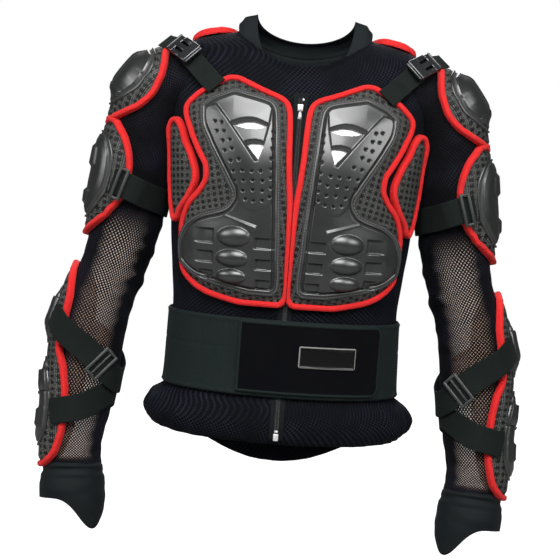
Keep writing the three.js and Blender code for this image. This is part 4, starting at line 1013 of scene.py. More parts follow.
@dataclass(frozen=True)
class JerseyCloth:
    """Open knitted mesh."""

    name: str
    knit: Knit
    colour: Colour
    across: float
    along: float
    radius: float
    sheer: float = 0.0

    def make(self, tools: FinishTools) -> bpy.types.Material:
        """Builds the material."""
        material, nodes, shader = tools.start(self.name)
        chart = tools.uv(nodes, "chart")
        holes = tools.place(
            nodes, tools.effects.holes, Chart=chart, Across=self.across, Along=self.along, Radius=self.radius
        )
        grain = tools.place(nodes, tools.effects.grain, Fine=1400.0, Broad=18.0)
        # Painted sheen: the yarn's raised places between the holes are lightened towards a pale colour, in
        # cloudy patches.
        pale = tuple(min(1.0, c * 6.5) for c in self.colour)
        ground = nodes.mix(nodes.ramp(grain.outputs["Cloud"], 0.35, 0.7), self.colour, pale)
        ground = nodes.mix(nodes.ramp(holes.outputs["Height"], 0.55, 1.0), self.colour, ground)
        # Painted shade: the holes are painted near black; on the sleeves' open part they blend to the lining
        # colour.
        pit = HOLE_SHADE
        if self.knit is Knit.SLEEVE:
            loose = nodes.add("ShaderNodeAttribute", attribute_name="tone").outputs["Fac"]
            turned = nodes.add("ShaderNodeLayerWeight").outputs["Facing"]
            facing = nodes.math("SUBTRACT", 1.0, nodes.ramp(turned, 0.0, 0.3))
            away = nodes.add("ShaderNodeNewGeometry").outputs["Backfacing"]
            through_it = nodes.math("MULTIPLY", nodes.math("MULTIPLY", holes.outputs["Hole"], loose), facing)
            thin = nodes.math("MULTIPLY", through_it, self.sheer)
            gone = nodes.math("MAXIMUM", thin, nodes.math("MULTIPLY", away, nodes.ramp(loose, 0.0, 0.3)))
            nodes.link(nodes.math("SUBTRACT", 1.0, gone), shader.inputs["Alpha"])
            pit = nodes.mix(through_it, HOLE_SHADE, LINING)
        ground = nodes.mix(holes.outputs["Hole"], ground, pit)
        nodes.link(ground, shader.inputs["Base Color"])
        tools.give(
            shader,
            Roughness=0.8, Specular_IOR_Level=0.08, Sheen_Weight=0.015, Sheen_Roughness=0.5,
            Sheen_Tint=(0.45, 0.52, 0.75, 1.0),
        )
        layers = ((holes.outputs["Height"], 0.8, 0.0006), (grain.outputs["Height"], 0.2, 0.0002))
        tools.relief(nodes, shader, *layers)
        return material


@dataclass(frozen=True)
class StretchCloth:
    """Smooth stretch knit of cuffs and collar."""

    name: str
    colour: Colour

    def make(self, tools: FinishTools) -> bpy.types.Material:
        """Builds the material."""
        material, nodes, shader = tools.start(self.name)
        chart = tools.uv(nodes, "chart")
        weave = tools.place(nodes, tools.effects.weave, Chart=chart, Across=0.0009, Along=0.0022, Balance=0.7)
        pale = tuple(c * 1.7 for c in self.colour)
        nodes.link(nodes.mix(weave.outputs["Tone"], self.colour, pale), shader.inputs["Base Color"])
        tools.give(
            shader,
            Roughness=0.7, Specular_IOR_Level=0.15, Sheen_Weight=0.025, Sheen_Roughness=0.45,
            Sheen_Tint=(0.5, 0.65, 0.75, 1.0),
        )
        tools.relief(nodes, shader, (weave.outputs["Height"], 0.35, 0.0003))
        return material


@dataclass(frozen=True)
class SpacerMesh:
    """Woven mesh over foam with star-shaped holes."""

    name: str
    dark: Colour
    light: Colour

    def make(self, tools: FinishTools) -> bpy.types.Material:
        """Builds the material."""
        material, nodes, shader = tools.start(self.name)
        chart = tools.uv(nodes, "chart")
        stars = tools.place(nodes, tools.effects.stars, Chart=chart, Pitch=0.0093, Yarn=0.0021)
        grain = tools.place(nodes, tools.effects.grain, Fine=2200.0, Broad=30.0)
        ground = nodes.mix(stars.outputs["Yarn"], self.dark, self.light)
        shade = nodes.mix(nodes.ramp(grain.outputs["Cloud"], 0.3, 0.7), ground, self.dark)
        soft = nodes.mix(0.3, ground, shade)
        nodes.link(nodes.mix(stars.outputs["Star"], soft, (0.001, 0.001, 0.001)), shader.inputs["Base Color"])
        tools.give(shader, Roughness=0.6, Specular_IOR_Level=0.3)
        tools.relief(nodes, shader, (stars.outputs["Height"], 1.0, 0.0014))
        return material


@dataclass(frozen=True)
class BindingTape:
    """Bright ribbed tape."""

    name: str
    colour: Colour

    def make(self, tools: FinishTools) -> bpy.types.Material:
        """Builds the material."""
        material, nodes, shader = tools.start(self.name)
        chart = tools.uv(nodes, "chart")
        weave = tools.place(
            nodes, tools.effects.weave, Chart=chart, Across=0.0021, Along=0.0017, Balance=0.45
        )
        # Painted shade: the valleys between the ribs are painted darker, and cloudy patches go back to the
        # plain colour.
        deep = tuple(c * 0.5 for c in self.colour)
        height = nodes.ramp(weave.outputs["Height"], 0.05, 0.75)
        ribs = nodes.mix(height, deep, self.colour)
        worn = nodes.mix(nodes.ramp(weave.outputs["Tone"], 0.3, 0.7), ribs, self.colour)
        nodes.link(worn, shader.inputs["Base Color"])
        tools.give(
            shader,
            Roughness=0.62, Specular_IOR_Level=0.3, Sheen_Weight=0.08, Sheen_Tint=(1.0, 0.6, 0.55, 1.0),
        )
        tools.relief(nodes, shader, (weave.outputs["Height"], 0.9, 0.0009))
        return material


@dataclass(frozen=True)
class MouldedShell:
    """Satin moulded plastic with painted highlights on its high places, painted shade in its pits, and
    stitches in its channel.
    """

    name: str
    colour: Colour
    highlight_colour: Colour
    stitched: bool = True

    def make(self, tools: FinishTools) -> bpy.types.Material:
        """Builds the material."""
        material, nodes, shader = tools.start(self.name)
        grain = tools.place(nodes, tools.effects.grain, Fine=1500.0, Broad=16.0)
        # The tone attribute holds painted light: above 0 it mixes in the highlight colour in random patches,
        # below 0 it paints shade near black.
        tone = nodes.add("ShaderNodeAttribute", attribute_name="tone").outputs["Fac"]
        highlight = tools.place(nodes, tools.effects.highlight_patches, Tone=tone, Cloud=grain.outputs["Cloud"])
        pale = tuple(c * 1.5 for c in self.colour)
        ground = nodes.mix(nodes.ramp(grain.outputs["Cloud"], 0.3, 0.7), self.colour, pale)
        ground = nodes.mix(highlight.outputs["Highlight"], ground, self.highlight_colour)
        pit = nodes.ramp(nodes.math("MULTIPLY", tone, -1.0), 0.05, 0.6)
        ground = nodes.mix(pit, ground, (0.002, 0.002, 0.0022))
        rough = nodes.math("ADD", nodes.math("MULTIPLY", grain.outputs["Cloud"], 0.14), 0.25)
        rough = nodes.math("ADD", rough, nodes.math("MULTIPLY", pit, 0.6), clamp=True)
        if self.stitched:
            rim = tools.uv(nodes, "rim")
            dashes = tools.place(nodes, tools.effects.dashes, Rim=rim, Inset=0.0028, Length=0.0042)
            stitch = dashes.outputs["Stitch"]
            ground = nodes.mix(stitch, ground, (0.09, 0.095, 0.09))
            rough = nodes.math("ADD", rough, nodes.math("MULTIPLY", stitch, 0.3), clamp=True)
        nodes.link(ground, shader.inputs["Base Color"])
        nodes.link(rough, shader.inputs["Roughness"])
        shader.inputs["Specular IOR Level"].default_value = 0.95
        tools.relief(nodes, shader, (grain.outputs["Height"], 0.12, 0.0002))
        return material


@dataclass(frozen=True)
class Webbing:
    """Woven elastic strap cloth."""

    name: str
    colour: Colour
    across: float = 0.0016
    along: float = 0.0009

    def make(self, tools: FinishTools) -> bpy.types.Material:
        """Builds the material."""
        material, nodes, shader = tools.start(self.name)
        chart = tools.uv(nodes, "chart")
        weave = tools.place(
            nodes, tools.effects.weave, Chart=chart, Across=self.across, Along=self.along, Balance=0.45
        )
        # Painted highlight on the weave's ridges and painted shade in its valleys; cloudy patches go back to
        # the plain colour.
        pale = tuple(c * 1.9 for c in self.colour)
        deep = tuple(c * 0.55 for c in self.colour)
        mixed = nodes.mix(nodes.ramp(weave.outputs["Height"], 0.1, 0.9), deep, pale)
        cloudy = nodes.mix(nodes.ramp(weave.outputs["Tone"], 0.3, 0.75), mixed, self.colour)
        nodes.link(cloudy, shader.inputs["Base Color"])
        tools.give(
            shader,
            Roughness=0.72, Specular_IOR_Level=0.15, Sheen_Weight=0.02, Sheen_Tint=(0.6, 0.75, 0.7, 1.0),
        )
        tools.relief(nodes, shader, (weave.outputs["Height"], 0.7, 0.0004))
        return material


@dataclass(frozen=True)
class PlainFinish:
    """A finish with fine grain and no pattern of its own."""

    name: str
    colour: Colour
    roughness: float
    metallic: float = 0.0
    coat: float = 0.0
    grain: float = 1200.0
    strength: float = 0.1
    sheen: float = 0.0
    shine: float = 0.5

    def make(self, tools: FinishTools) -> bpy.types.Material:
        """Builds the material."""
        material, nodes, shader = tools.start(self.name)
        grain = tools.place(nodes, tools.effects.grain, Fine=self.grain, Broad=22.0)
        pale = tuple(min(1.0, c * 1.35) for c in self.colour)
        cloud = nodes.ramp(grain.outputs["Cloud"], 0.3, 0.72)
        nodes.link(nodes.mix(cloud, self.colour, pale), shader.inputs["Base Color"])
        rough = nodes.math("ADD", nodes.math("MULTIPLY", cloud, 0.12), self.roughness - 0.05)
        nodes.link(rough, shader.inputs["Roughness"])
        tools.give(
            shader,
            Metallic=self.metallic, Specular_IOR_Level=self.shine, Coat_Weight=self.coat,
            Sheen_Weight=self.sheen,
        )
        tools.relief(nodes, shader, (grain.outputs["Height"], self.strength, 0.0004))
        return material


@dataclass
class Finishes:
    """Every finish of the jacket, by the record's slot name or its own."""

    made: dict[str, bpy.types.Material]

    @staticmethod
    def build() -> "Finishes":
        """Builds the effects once and each material from them."""
        tools = FinishTools(Effects())
        wanted = {
            "body_knit": JerseyCloth("body_knit", Knit.BODY, (0.0024, 0.0029, 0.0052), 0.0065, 0.0062, 0.24),
            "sleeve_knit": JerseyCloth(
                "sleeve_knit", Knit.SLEEVE, (0.0016, 0.0017, 0.0028), 0.0052, 0.0052, 0.19, 0.22
            ),
            "lycra": StretchCloth("stretch_lycra", (0.0028, 0.0044, 0.0052)),
            "foam": SpacerMesh("spacer_mesh", (0.0045, 0.005, 0.0045), (0.13, 0.135, 0.125)),
            "tape": BindingTape("red_binding", (0.66, 0.009, 0.01)),
            # The second colour of each shell finish is its painted highlight colour.
            "shell": MouldedShell("moulded_shell", (0.0085, 0.0095, 0.009), (0.06, 0.062, 0.06)),
            "plain_shell": MouldedShell("plain_shell", (0.0085, 0.0095, 0.009), (0.06, 0.062, 0.06), False),
            "pale": PlainFinish("pale_insert", (0.85, 0.85, 0.84), 0.35),
            "webbing": Webbing("strap_webbing", (0.0025, 0.0046, 0.0038)),
            "zip_cloth": Webbing("zip_cloth", (0.0016, 0.0022, 0.0026)),
            "belt_elastic": Webbing("belt_elastic", (0.0038, 0.0075, 0.0072), 0.0012, 0.0026),
            "buckle": PlainFinish("glossy_buckle", (0.01, 0.011, 0.0115), 0.2, coat=0.6, strength=0.02),
            "slider": PlainFinish("satin_slider", (0.02, 0.022, 0.022), 0.42, strength=0.05),
            "velvet": PlainFinish(
                "brushed_velvet",
                (0.0008, 0.0009, 0.0018),
                0.95,
                grain=3200.0,
                strength=0.5,
                sheen=0.01,
                shine=0.1,
            ),
            "faux_leather": PlainFinish(
                "faux_leather",
                (0.0015, 0.0015, 0.0014),
                0.2,
                coat=0.1,
                grain=1900.0,
                strength=0.3,
                shine=0.4,
            ),
            "leather_edge": PlainFinish("turned_edge", (0.16, 0.16, 0.15), 0.5),
            "zip_metal": PlainFinish("plated_zip", (0.86, 0.86, 0.87), 0.42, metallic=0.75, strength=0.02),
            "zip_teeth": PlainFinish("zip_coil", (0.012, 0.012, 0.013), 0.35, strength=0.05),
        }
        return Finishes({key: finish.make(tools) for key, finish in wanted.items()})

    def __getitem__(self, key: str) -> bpy.types.Material:
        """The material of that name."""
        return self.made[key]


# Pieces


@dataclass
class Piece:
    """How a made mesh joins the jacket."""

    finishes: Finishes
    chart: BodyChart

    def settle(self, piece: bpy.types.Object, slot: str, *nodes: str) -> bpy.types.Object:
        """Lets a piece ride on the jacket in place of its plain solids."""
        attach(piece, "root")
        if nodes:
            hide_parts(*nodes)
        LOG.info("%s: %d faces", piece.name, len(piece.data.polygons))
        return piece

    def pair(
        self,
        name: str,
        sheeting: Sheeting,
        material: str,
        slot: str,
        stem: Optional[str],
        crisp: bool = False,
    ) -> list[bpy.types.Object]:
        """Makes a piece on the wearer's left and, mirrored, on the right.

        Args:
            name: The piece's name without its side.
            sheeting: Its left-hand shape.
            material: Its finish.
            slot: The record's material slot; not used.
            stem: The plain solid it stands for, without its side.
            crisp: Whether sharp edges stay sharp.

        Returns:
            Both objects.
        """
        made = []
        for side in Side:
            shape = sheeting if side is Side.LEFT else sheeting.mirrored()
            piece = shape.mesh(f"{name}_{side.value}", self.finishes[material], crisp)
            nodes = (f"{stem}_{side.value}",) if stem else ()
            made.append(self.settle(piece, slot, *nodes))
        return made

    def single(
        self, name: str, sheeting: Sheeting, material: str, slot: str, *nodes: str
    ) -> bpy.types.Object:
        """Makes one piece that rides on the jacket."""
        return self.settle(sheeting.mesh(name, self.finishes[material]), slot, *nodes)


CHEST_PAD = np.array(
    [
        (0.175, 0.478, 0.532), (0.2, 0.29, 0.68), (0.223, 0.121, 0.774), (0.242, 0.095, 0.82),
        (0.296, 0.081, 0.763), (0.338, 0.075, 0.695), (0.372, 0.067, 0.636), (0.4, 0.059, 0.628),
        (0.43, 0.049, 0.668), (0.47, 0.039, 0.756), (0.515, 0.034, 0.79), (0.605, 0.027, 0.768),
        (0.636, 0.025, 0.69), (0.656, 0.027, 0.57), (0.672, 0.05, 0.34),
    ]
)
CHEST_PLATE = np.array(
    [
        (0.196, 0.47, 0.5), (0.22, 0.19, 0.665), (0.24, 0.145, 0.728), (0.275, 0.13, 0.715),
        (0.32, 0.12, 0.65), (0.405, 0.1, 0.49), (0.435, 0.094, 0.445), (0.46, 0.088, 0.49),
        (0.48, 0.083, 0.66), (0.51, 0.077, 0.77), (0.55, 0.07, 0.808), (0.59, 0.063, 0.795),
        (0.62, 0.058, 0.705), (0.643, 0.064, 0.5), (0.657, 0.11, 0.27),
    ]
)
SIDE_PAD = np.array(
    [
        (0.274, 0.905, 0.93), (0.292, 0.87, 0.945), (0.32, 0.84, 0.94), (0.355, 0.785, 0.93),
        (0.4, 0.745, 0.92), (0.44, 0.785, 0.905), (0.475, 0.845, 0.885), (0.495, 0.86, 0.872),
    ]
)
SHOULDER_PAD = np.array(
    [
        (1.72, 30, 30), (1.92, 58, 50), (2.2, 71, 60), (2.6, 77, 66), (3.0, 72, 63), (3.25, 58, 52),
        (3.45, 38, 36), (3.62, 14, 14),
    ]
)
SHOULDER_CUP = np.array(
    [
        (1.9, 38, 32), (2.04, 52, 43), (2.35, 61, 50), (2.65, 62, 51), (2.95, 55, 46), (3.14, 44, 38),
        (3.32, 22, 20),
    ]
)
ARM_PAD = np.array(
    [
        (3.66, 42, 38), (3.95, 62, 56), (4.3, 76, 66), (4.65, 81, 71), (5.0, 81, 71), (5.35, 75, 66),
        (5.68, 62, 56), (6.02, 44, 40), (6.34, 13, 13),
    ]
)
ARM_GUARD = np.array(
    [
        (3.92, 32, 30), (4.08, 46, 42), (4.4, 59, 52), (4.8, 62, 55), (5.2, 60, 53), (5.55, 50, 46),
        (5.85, 36, 34), (6.04, 20, 20),
    ]
)
FOREARM_PAD = np.array(
    [
        (7.42, 4, 30), (7.62, 20, 50), (7.95, 35, 64), (8.4, 45, 72), (9.0, 47, 76), (9.55, 45, 75),
        (10.1, 57, 74), (10.7, 65, 72), (11.6, 69, 67), (12.35, 59, 54), (12.8, 32, 30),
    ]
)
ELBOW_CUP = np.array(
    [(7.95, -6, 44), (8.12, 6, 54), (8.45, 14, 60), (8.9, 18, 60), (9.25, 12, 54), (9.42, 2, 44)]
)
FOREARM_GUARD = np.array(
    [
        (9.82, 6, 42), (10.0, 22, 50), (10.4, 35, 54), (11.0, 43, 54), (11.6, 44, 50), (12.05, 32, 40),
        (12.25, 14, 24),
    ]
)


@dataclass
class Jersey(Piece):
    """The knitted body and sleeves."""

    around: int = 240
    down_step: float = 5.0
    neck_half: float = 100.0
    neck_front: float = 68.0
    neck_back: float = 70.0
    neck_depth: float = 142.0
    neck_band: float = 0.9
    cloth: float = 0.0014
    sleeve_around: int = 96
    sleeve_down: int = 160
    sleeve_girth: float = 310.0
    row_length: float = 49.0

    def build(self) -> None:
        """Makes the body and both sleeves."""
        self._body()
        self._sleeves()

    def _body(self) -> None:
        """The body, open at the neck, the armholes and the hem."""
        size = self.chart.sizes
        rows = self.chart.torso
        down = np.concatenate(
            [
                np.linspace(rows[0, 0], rows[4, 0], 30, endpoint=False),
                np.linspace(rows[4, 0], 1.0, int(size.length * (1 - rows[4, 0]) / self.down_step)),
            ]
        )
        turn = even_turns(self.around)
        turns, z = np.meshgrid(turn, -down * size.length)
        points = self.chart.torso_point(turns, z)
        behind = np.maximum(0.0, -np.sin(np.radians(turns)))
        aside = np.abs(np.cos(np.radians(turns)))
        tail = self.chart.torso_section(z)[4]
        points[..., 2] += tail * (size.side_rise * aside**4 - size.tail_drop * behind**size.tail_narrow)
        around = ring_lengths(points)
        chart = np.stack([around, arc_lengths(points, 0)], -1)
        outward = unit(points * np.array([1.0, 1.6, 0.0]))
        hem = smoothstep(-z, 548.0, 575.0)
        waist = smoothstep(-z, 400.0, 440.0)
        folds = ripples(points, 11, 26.0, (0.5, 0.5, 1.9)) * (0.6 + 1.5 * hem)
        folds += ripples(points, 12, 60.0) * 0.8 * (1 - waist)
        under_belt = smoothstep(-z, 430.0, 440.0) * (1 - smoothstep(-z, 548.0, 560.0))
        points = points + outward * (folds * (1 - under_belt))[..., None]
        turned = smoothstep(-z, 604.0, 616.0)
        points = points - outward * (turned * 4.0)[..., None]
        points, hidden = self._neck_cut(points)
        sheet = Sheeting.grid(points, chart, ringed=True)
        centre = points.reshape(-1, 3)[sheet.faces].mean(1)
        inside = self.chart.sleeve_reach(centre * np.where(centre[:, :1] < 0, np.array([-1.0, 1, 1]), 1.0))
        shut = (np.abs(centre[:, 0]) > 120) & (centre[:, 2] > -300) & (inside < -6.0)
        keep = ~shut & ~hidden.reshape(-1)[sheet.faces].any(1)
        body = sheet.kept(keep).mesh("jersey_body", self.finishes["body_knit"])
        self._thicken(body, self.cloth)
        self.settle(body, "jersey", "torso_jersey")

    def _neck_cut(self, points: Array) -> tuple[Array, Array]:
        """Draws the neck's edge to its oval and marks what lies inside it."""
        depth = np.where(points[..., 1] < 0, self.neck_front, self.neck_back)
        ratio = np.hypot(points[..., 0] / self.neck_half, points[..., 1] / depth)
        high = points[..., 2] > -self.neck_depth
        near = high & (ratio < 1.0) & (ratio > self.neck_band)
        scale = np.where(near, 0.995 / np.maximum(ratio, 0.1), 1.0)
        moved = points.copy()
        moved[..., 0] *= scale
        moved[..., 1] *= scale
        return moved, high & (ratio <= self.neck_band)

    @staticmethod
    def _thicken(piece: bpy.types.Object, amount: float) -> None:
        """Gives a cloth its thickness, inward."""
        solid = piece.modifiers.new("cloth", "SOLIDIFY")
        solid.thickness = amount
        solid.offset = -1.0
        solid.use_rim = True

    def _sleeves(self) -> None:
        """The sleeves, from the armhole's seam to the wrist."""
        turn = even_turns(self.sleeve_around)
        starts = []
        for one in turn:
            at = np.linspace(0.5, 6.0, 221)
            reach = self.chart.torso_reach(self.chart.arm_point(np.full_like(at, one), at))
            inside = np.nonzero(reach < -1.5)[0]
            starts.append(at[inside[-1]] if len(inside) else 0.5)
        start = np.array(starts)
        smooth = sum(np.roll(start, k) for k in (-2, -1, 0, 1, 2)) / 5
        start = np.minimum(start, smooth)
        share = np.linspace(0, 1, self.sleeve_down)[:, None]
        at = start[None, :] + (self.chart.last + 0.04 - start[None, :]) * share
        turns = np.broadcast_to(turn[None, :], at.shape)
        points = self.chart.arm_point(turns, at)
        centre = self.chart.arm_frame(at)[0]
        outward = unit(points - centre)
        inner = 0.5 - 0.5 * np.cos(np.radians(turns - 20.0))
        elbow = np.exp(-(((at - 7.0) / 1.2) ** 2))
        wrist = smoothstep(at, 11.2, 12.9)
        folds = ripples(points, 21, 24.0, (1.6, 1.2, 0.55))
        deep = np.sin(at * 9.0 + 1.7 * np.sin(np.radians(turns))) * elbow * inner * 1.6
        quiet = 1 - smoothstep(at, 12.8, 13.0)
        lift = (folds * (0.5 + 1.0 * elbow * inner + 1.2 * wrist * inner) + deep) * quiet
        points = points + outward * lift[..., None]
        around = arc_lengths(np.concatenate([points, points[:, :1]], 1), 1)
        girth = around[:, -1:]
        around = around[:, :-1] / girth * self.sleeve_girth
        along = at * self.row_length
        loose = smoothstep(at, 5.5, 6.6) * (1 - smoothstep(at, 12.5, 12.8))
        sheet = Sheeting.grid(points, np.stack([around, along], -1), ringed=True, tone=loose)
        for piece in self.pair("sleeve_knit", sheet, "sleeve_knit", "jersey", "sleeve"):
            self._fix_seam(piece)

    @staticmethod
    def _fix_seam(piece: bpy.types.Object) -> None:
        """Keeps the surface coordinates whole where the tube closes."""
        layer = piece.data.uv_layers["chart"]
        values = np.zeros(len(layer.data) * 2, np.float32)
        layer.data.foreach_get("uv", values)
        quads = values.reshape(-1, 4, 2)
        wide = quads[:, :, 0].max(1) - quads[:, :, 0].min(1) > 0.15
        low = quads[:, :, 0] < 0.15
        quads[:, :, 0] += np.where(wide[:, None] & low, 0.31, 0.0)
        layer.data.foreach_set("uv", quads.ravel())


@dataclass
class Cuffs(Piece):
    """Stretch cuffs that run out to a tip on the thumb's side."""

    length: float = 46.0
    tip: float = 43.0
    tip_turn: float = 140.0
    tip_narrow: float = 4.2
    cloth: float = 1.6

    def build(self) -> None:
        """Makes both cuffs."""
        chart = self.chart
        centre, along, out, ahead, across, deep = chart.arm_frame(np.array(float(chart.last)))
        turn = even_turns(80)
        share = np.linspace(-0.12, 1.0, 38)
        places = (0.0, 0.35, 0.7, 1.0)
        wide = through(places, (1.0, 1.1, 1.15, 1.12), np.clip(share, 0, 1))
        wide = wide + 0.05 * np.exp(-((share + 0.02) / 0.05) ** 2)
        tip = through(places, (0, 0, 0.35, 1.0), np.clip(share, 0, 1))
        angle = np.radians(turn)[None, :]
        lean = np.maximum(0.0, np.cos(np.radians(turn - self.tip_turn)))[None, :]
        reach = share[:, None] * self.length + tip[:, None] * self.tip * lean**self.tip_narrow
        base = centre + along * reach[..., None]

        def ring(grow: float) -> Array:
            a = np.cos(angle) * (wide[:, None] * across + grow)
            b = np.sin(angle) * (wide[:, None] * deep + grow)
            return base + out * a[..., None] + ahead * b[..., None]

        outer = ring(0.0)
        outward = unit(outer - base)
        crumple = ripples(outer, 31, 20.0, (1.6, 1.3, 0.6)) * (1.3 - 0.7 * share[:, None])
        gather = np.sin(share[:, None] * 24.0 + 2 * np.sin(angle)) * np.exp(-(share[:, None] / 0.35) ** 2)
        outer = outer + outward * (crumple + gather + 0.6)[..., None]
        inner = outer - outward * self.cloth
        grid = np.concatenate([outer, inner[::-1]])
        around = np.broadcast_to((turn / 360 * 260)[None, :], grid.shape[:2])
        sheet = Sheeting.grid(grid, np.stack([around, arc_lengths(grid, 0)], -1), ringed=True, closed=True)
        for piece in self.pair("stretch_cuff", sheet, "lycra", "lycra", "cuff"):
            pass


@dataclass
class Collar(Piece):
    """The stand-up collar in the neck opening."""

    foot_half: float = 99.6
    foot_front: float = 67.6
    foot_back: float = 69.6
    rim_half: float = 74.0
    rim_front: float = 58.0
    rim_back: float = 60.0
    front_dip: float = 104.0
    back_dip: float = 30.0
    root: float = 6.0
    cloth: float = 2.0

    def _height_over(self, x: Array, y: Array) -> Array:
        """The torso's height above places inside its outline."""
        low = np.full(x.shape, -308.0)
        high = np.full(x.shape, self.chart.top)
        for _ in range(26):
            middle = (low + high) / 2
            inside = self.chart.torso_reach(np.stack([x, y, middle], -1)) < 0
            low = np.where(inside, middle, low)
            high = np.where(inside, high, middle)
        return low

    def build(self) -> None:
        """Makes the collar as one folded band."""
        angle = np.arange(144) * math.pi * 2 / 144
        c, s = np.cos(angle), np.sin(angle)
        ahead = s > 0
        foot_depth = np.where(ahead, self.foot_front, self.foot_back)
        rim_depth = np.where(ahead, self.rim_front, self.rim_back)
        base = self._height_over(self.foot_half * c, -foot_depth * s)
        kernel = np.array([1, 2, 3, 2, 1]) / 9.0
        base = sum(k * np.roll(base, i - 2) for i, k in enumerate(kernel))
        top = -np.abs(s) * np.where(ahead, self.front_dip, self.back_dip)
        rise = np.linspace(0, 1, 30)[:, None]
        lean = through((0, 0.45, 0.85, 1), (0, 0.06, 0.35, 1), rise)
        half = self.foot_half + (self.rim_half - self.foot_half) * lean
        depth = foot_depth + (rim_depth - foot_depth) * lean
        z = base - self.root + (top - base + self.root) * rise
        outer = np.stack([half * c, -depth * s, z], -1)
        outward = unit(outer * np.array([1.0, 1.0, 0.0]))
        side = np.abs(c) ** 3
        folds = np.sin(rise * 15.0 + 1.2 * np.sin(angle * 3)) * side * 1.3 * np.sin(rise * math.pi)
        seam = bump(rise, 0.3, 0.06) * 0.8 * (1 - side)
        uneven = ripples(outer, 41, 30.0) * 0.6 * np.sin(rise * math.pi)
        outer = outer + outward * (folds + seam + uneven)[..., None]
        inner = outer - outward * self.cloth
        crown = (outer[-1:] + inner[-1:]) / 2 + np.array([0, 0, 0.7])
        grid = np.concatenate([outer, crown, inner[::-1]])
        around = ring_lengths(grid)
        sheet = Sheeting.grid(grid, np.stack([around, arc_lengths(grid, 0)], -1), ringed=True, closed=True)
        piece = self.single("stand_collar", sheet, "lycra", "lycra", "collar")


@dataclass
class Padding(Piece):
    """The foam pads under their woven cover, each bound with red tape."""

    seat: float = 0.6
    thick: float = 9.0
    edge_low: float = 2.4
    crown: float = 2.9
    crown_reach: float = 9.0
    wave: float = 0.5
    tape_width: float = 8.6
    tape_height: float = 10.4

    def build(self) -> None:
        """Makes every pad with its tape."""
        chart = self.chart
        fronts = (("chest", CHEST_PAD, 64, 13, (130, 62), 0.45), ("side", SIDE_PAD, 34, 9, (80, 24), None))
        for name, table, rows, columns, fine, middle in fronts:
            self._pad(name, chart.front_grid(table, rows, columns).fine(*fine), middle)
        sleeves = (
            ("shoulder", SHOULDER_PAD, 22, 15, (62, 62)),
            ("arm", ARM_PAD, 28, 15, (84, 62)),
            ("forearm", FOREARM_PAD, 36, 13, (116, 54)),
        )
        for name, table, rows, columns, fine in sleeves:
            self._pad(name, chart.sleeve_grid(table, rows, columns).fine(*fine), None)

    def _pad(self, name: str, spots: Spots, middle: Optional[float]) -> None:
        """One pad, crowned between its edges, and its tape."""
        loop = even_loop(spots.edge(), 1.9, 2.8)
        sheet = self.cover(spots, chart_of(spots.place), len(name) + 50, 17.0)
        for piece in self.pair(f"{name}_padding", sheet, "foam", "foam", f"{name}_pad"):
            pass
        self.pair(f"{name}_tape", self.tape(loop, middle), "tape", "tape", f"{name}_binding")

    def cover(self, spots: Spots, chart: Array, seed: int, scale: float) -> Sheeting:
        """A pad's woven cover, lowest along its taped edge and crowned within.

        Args:
            spots: The pad's places.
            chart: Its surface coordinates.
            seed: Which unevenness it has.
            scale: Size of the unevenness in millimetres.

        Returns:
            The cover with its turned-down rim.
        """
        distance, _ = edge_fields(spots)
        crown = smoothstep(distance, 0.0, self.crown_reach)
        waves = self.wave * ripples(spots.place, seed, scale) * crown
        height = self.thick - self.edge_low + self.crown * crown + waves
        return Sheeting.lidded(spots.raised(height), spots.raised(self.seat), chart)

    def tape(self, loop: Spots, middle: Optional[float]) -> Sheeting:
        """The rounded tape over a pad's edge.

        Args:
            loop: The pad's softened edge.
            middle: How near the zip's line it may come, if it may reach it.

        Returns:
            The closed tape.
        """
        ways = loop_ways(loop)
        angle = np.linspace(0, math.pi, 11)
        profile = [(-0.6, 0.6)]
        half = self.tape_width / 2
        for a in angle:
            across = half - 0.6 - half * math.copysign(abs(math.cos(a)) ** 0.85, math.cos(a))
            profile.append((across, 2.2 + (self.tape_height - 2.2) * math.sin(a) ** 0.38))
        profile.append((self.tape_width - 0.6, 0.6))
        rows = []
        sag = ripples(loop.place, 61, 22.0) * 0.3 + ripples(loop.place, 62, 6.5) * 0.32
        for across, height in profile:
            lift = height + (sag if height > 3 else 0)
            lift = np.broadcast_to(lift, len(loop.place))[:, None]
            rows.append(loop.place + ways * across + loop.out * lift)
        grid = np.stack(rows)
        if middle is not None:
            grid[..., 0] = np.maximum(grid[..., 0], middle)
        walked = arc_lengths(np.concatenate([loop.place, loop.place[:1]])[None], 1)[0]
        across = arc_lengths(grid, 0)
        along = np.broadcast_to(walked[:-1], across.shape)
        return Sheeting.grid(grid, np.stack([across, along], -1), ringed=True, closed=True)


# Places on the chest plate in millimetres across and down
PLATE_V = (
    (25, -146), (22, -165), (20, -200), (20, -235), (24.5, -252), (28, -268.8), (35, -281), (49.8, -287),
    (63, -284.5), (74, -271), (85.5, -255.1), (95, -238), (108, -213), (119, -188), (130, -160), (125, -149),
    (114.7, -147), (97.6, -166.1), (76.8, -192.9), (55.5, -220.5), (50.5, -218.8), (44.4, -191.8),
    (40.4, -170.4), (37.8, -148), (33, -144),
)
PLATE_HOLES = (
    (103.6, -171.2), (112.5, -169.6), (99.5, -183.1), (108.9, -183.0), (90.5, -194.5), (99.8, -196.0),
    (86.8, -206.2), (96.0, -208.8), (76.5, -219.3), (87.5, -221.5), (34.5, -180.2), (34.0, -191.3),
    (33.8, -203.5), (34.0, -216.5), (33.5, -229.4), (33.0, -241.5), (46.7, -232.8), (58.3, -233.3),
    (71.0, -233.1), (82.9, -234.5), (43.4, -245.9), (56.1, -245.8), (68.6, -246.7), (80.3, -247.9),
    (31.9, -255.0), (42.7, -259.6), (55.1, -259.2), (68.2, -261.0), (32.6, -267.6), (41.8, -273.0),
    (53.0, -274.1), (63.7, -272.4),
)
PLATE_DOMES = ((75.5, -324.8, 22.0, 13.6), (76.0, -354.2, 21.5, 12.4), (76.0, -380.5, 20.0, 10.6))
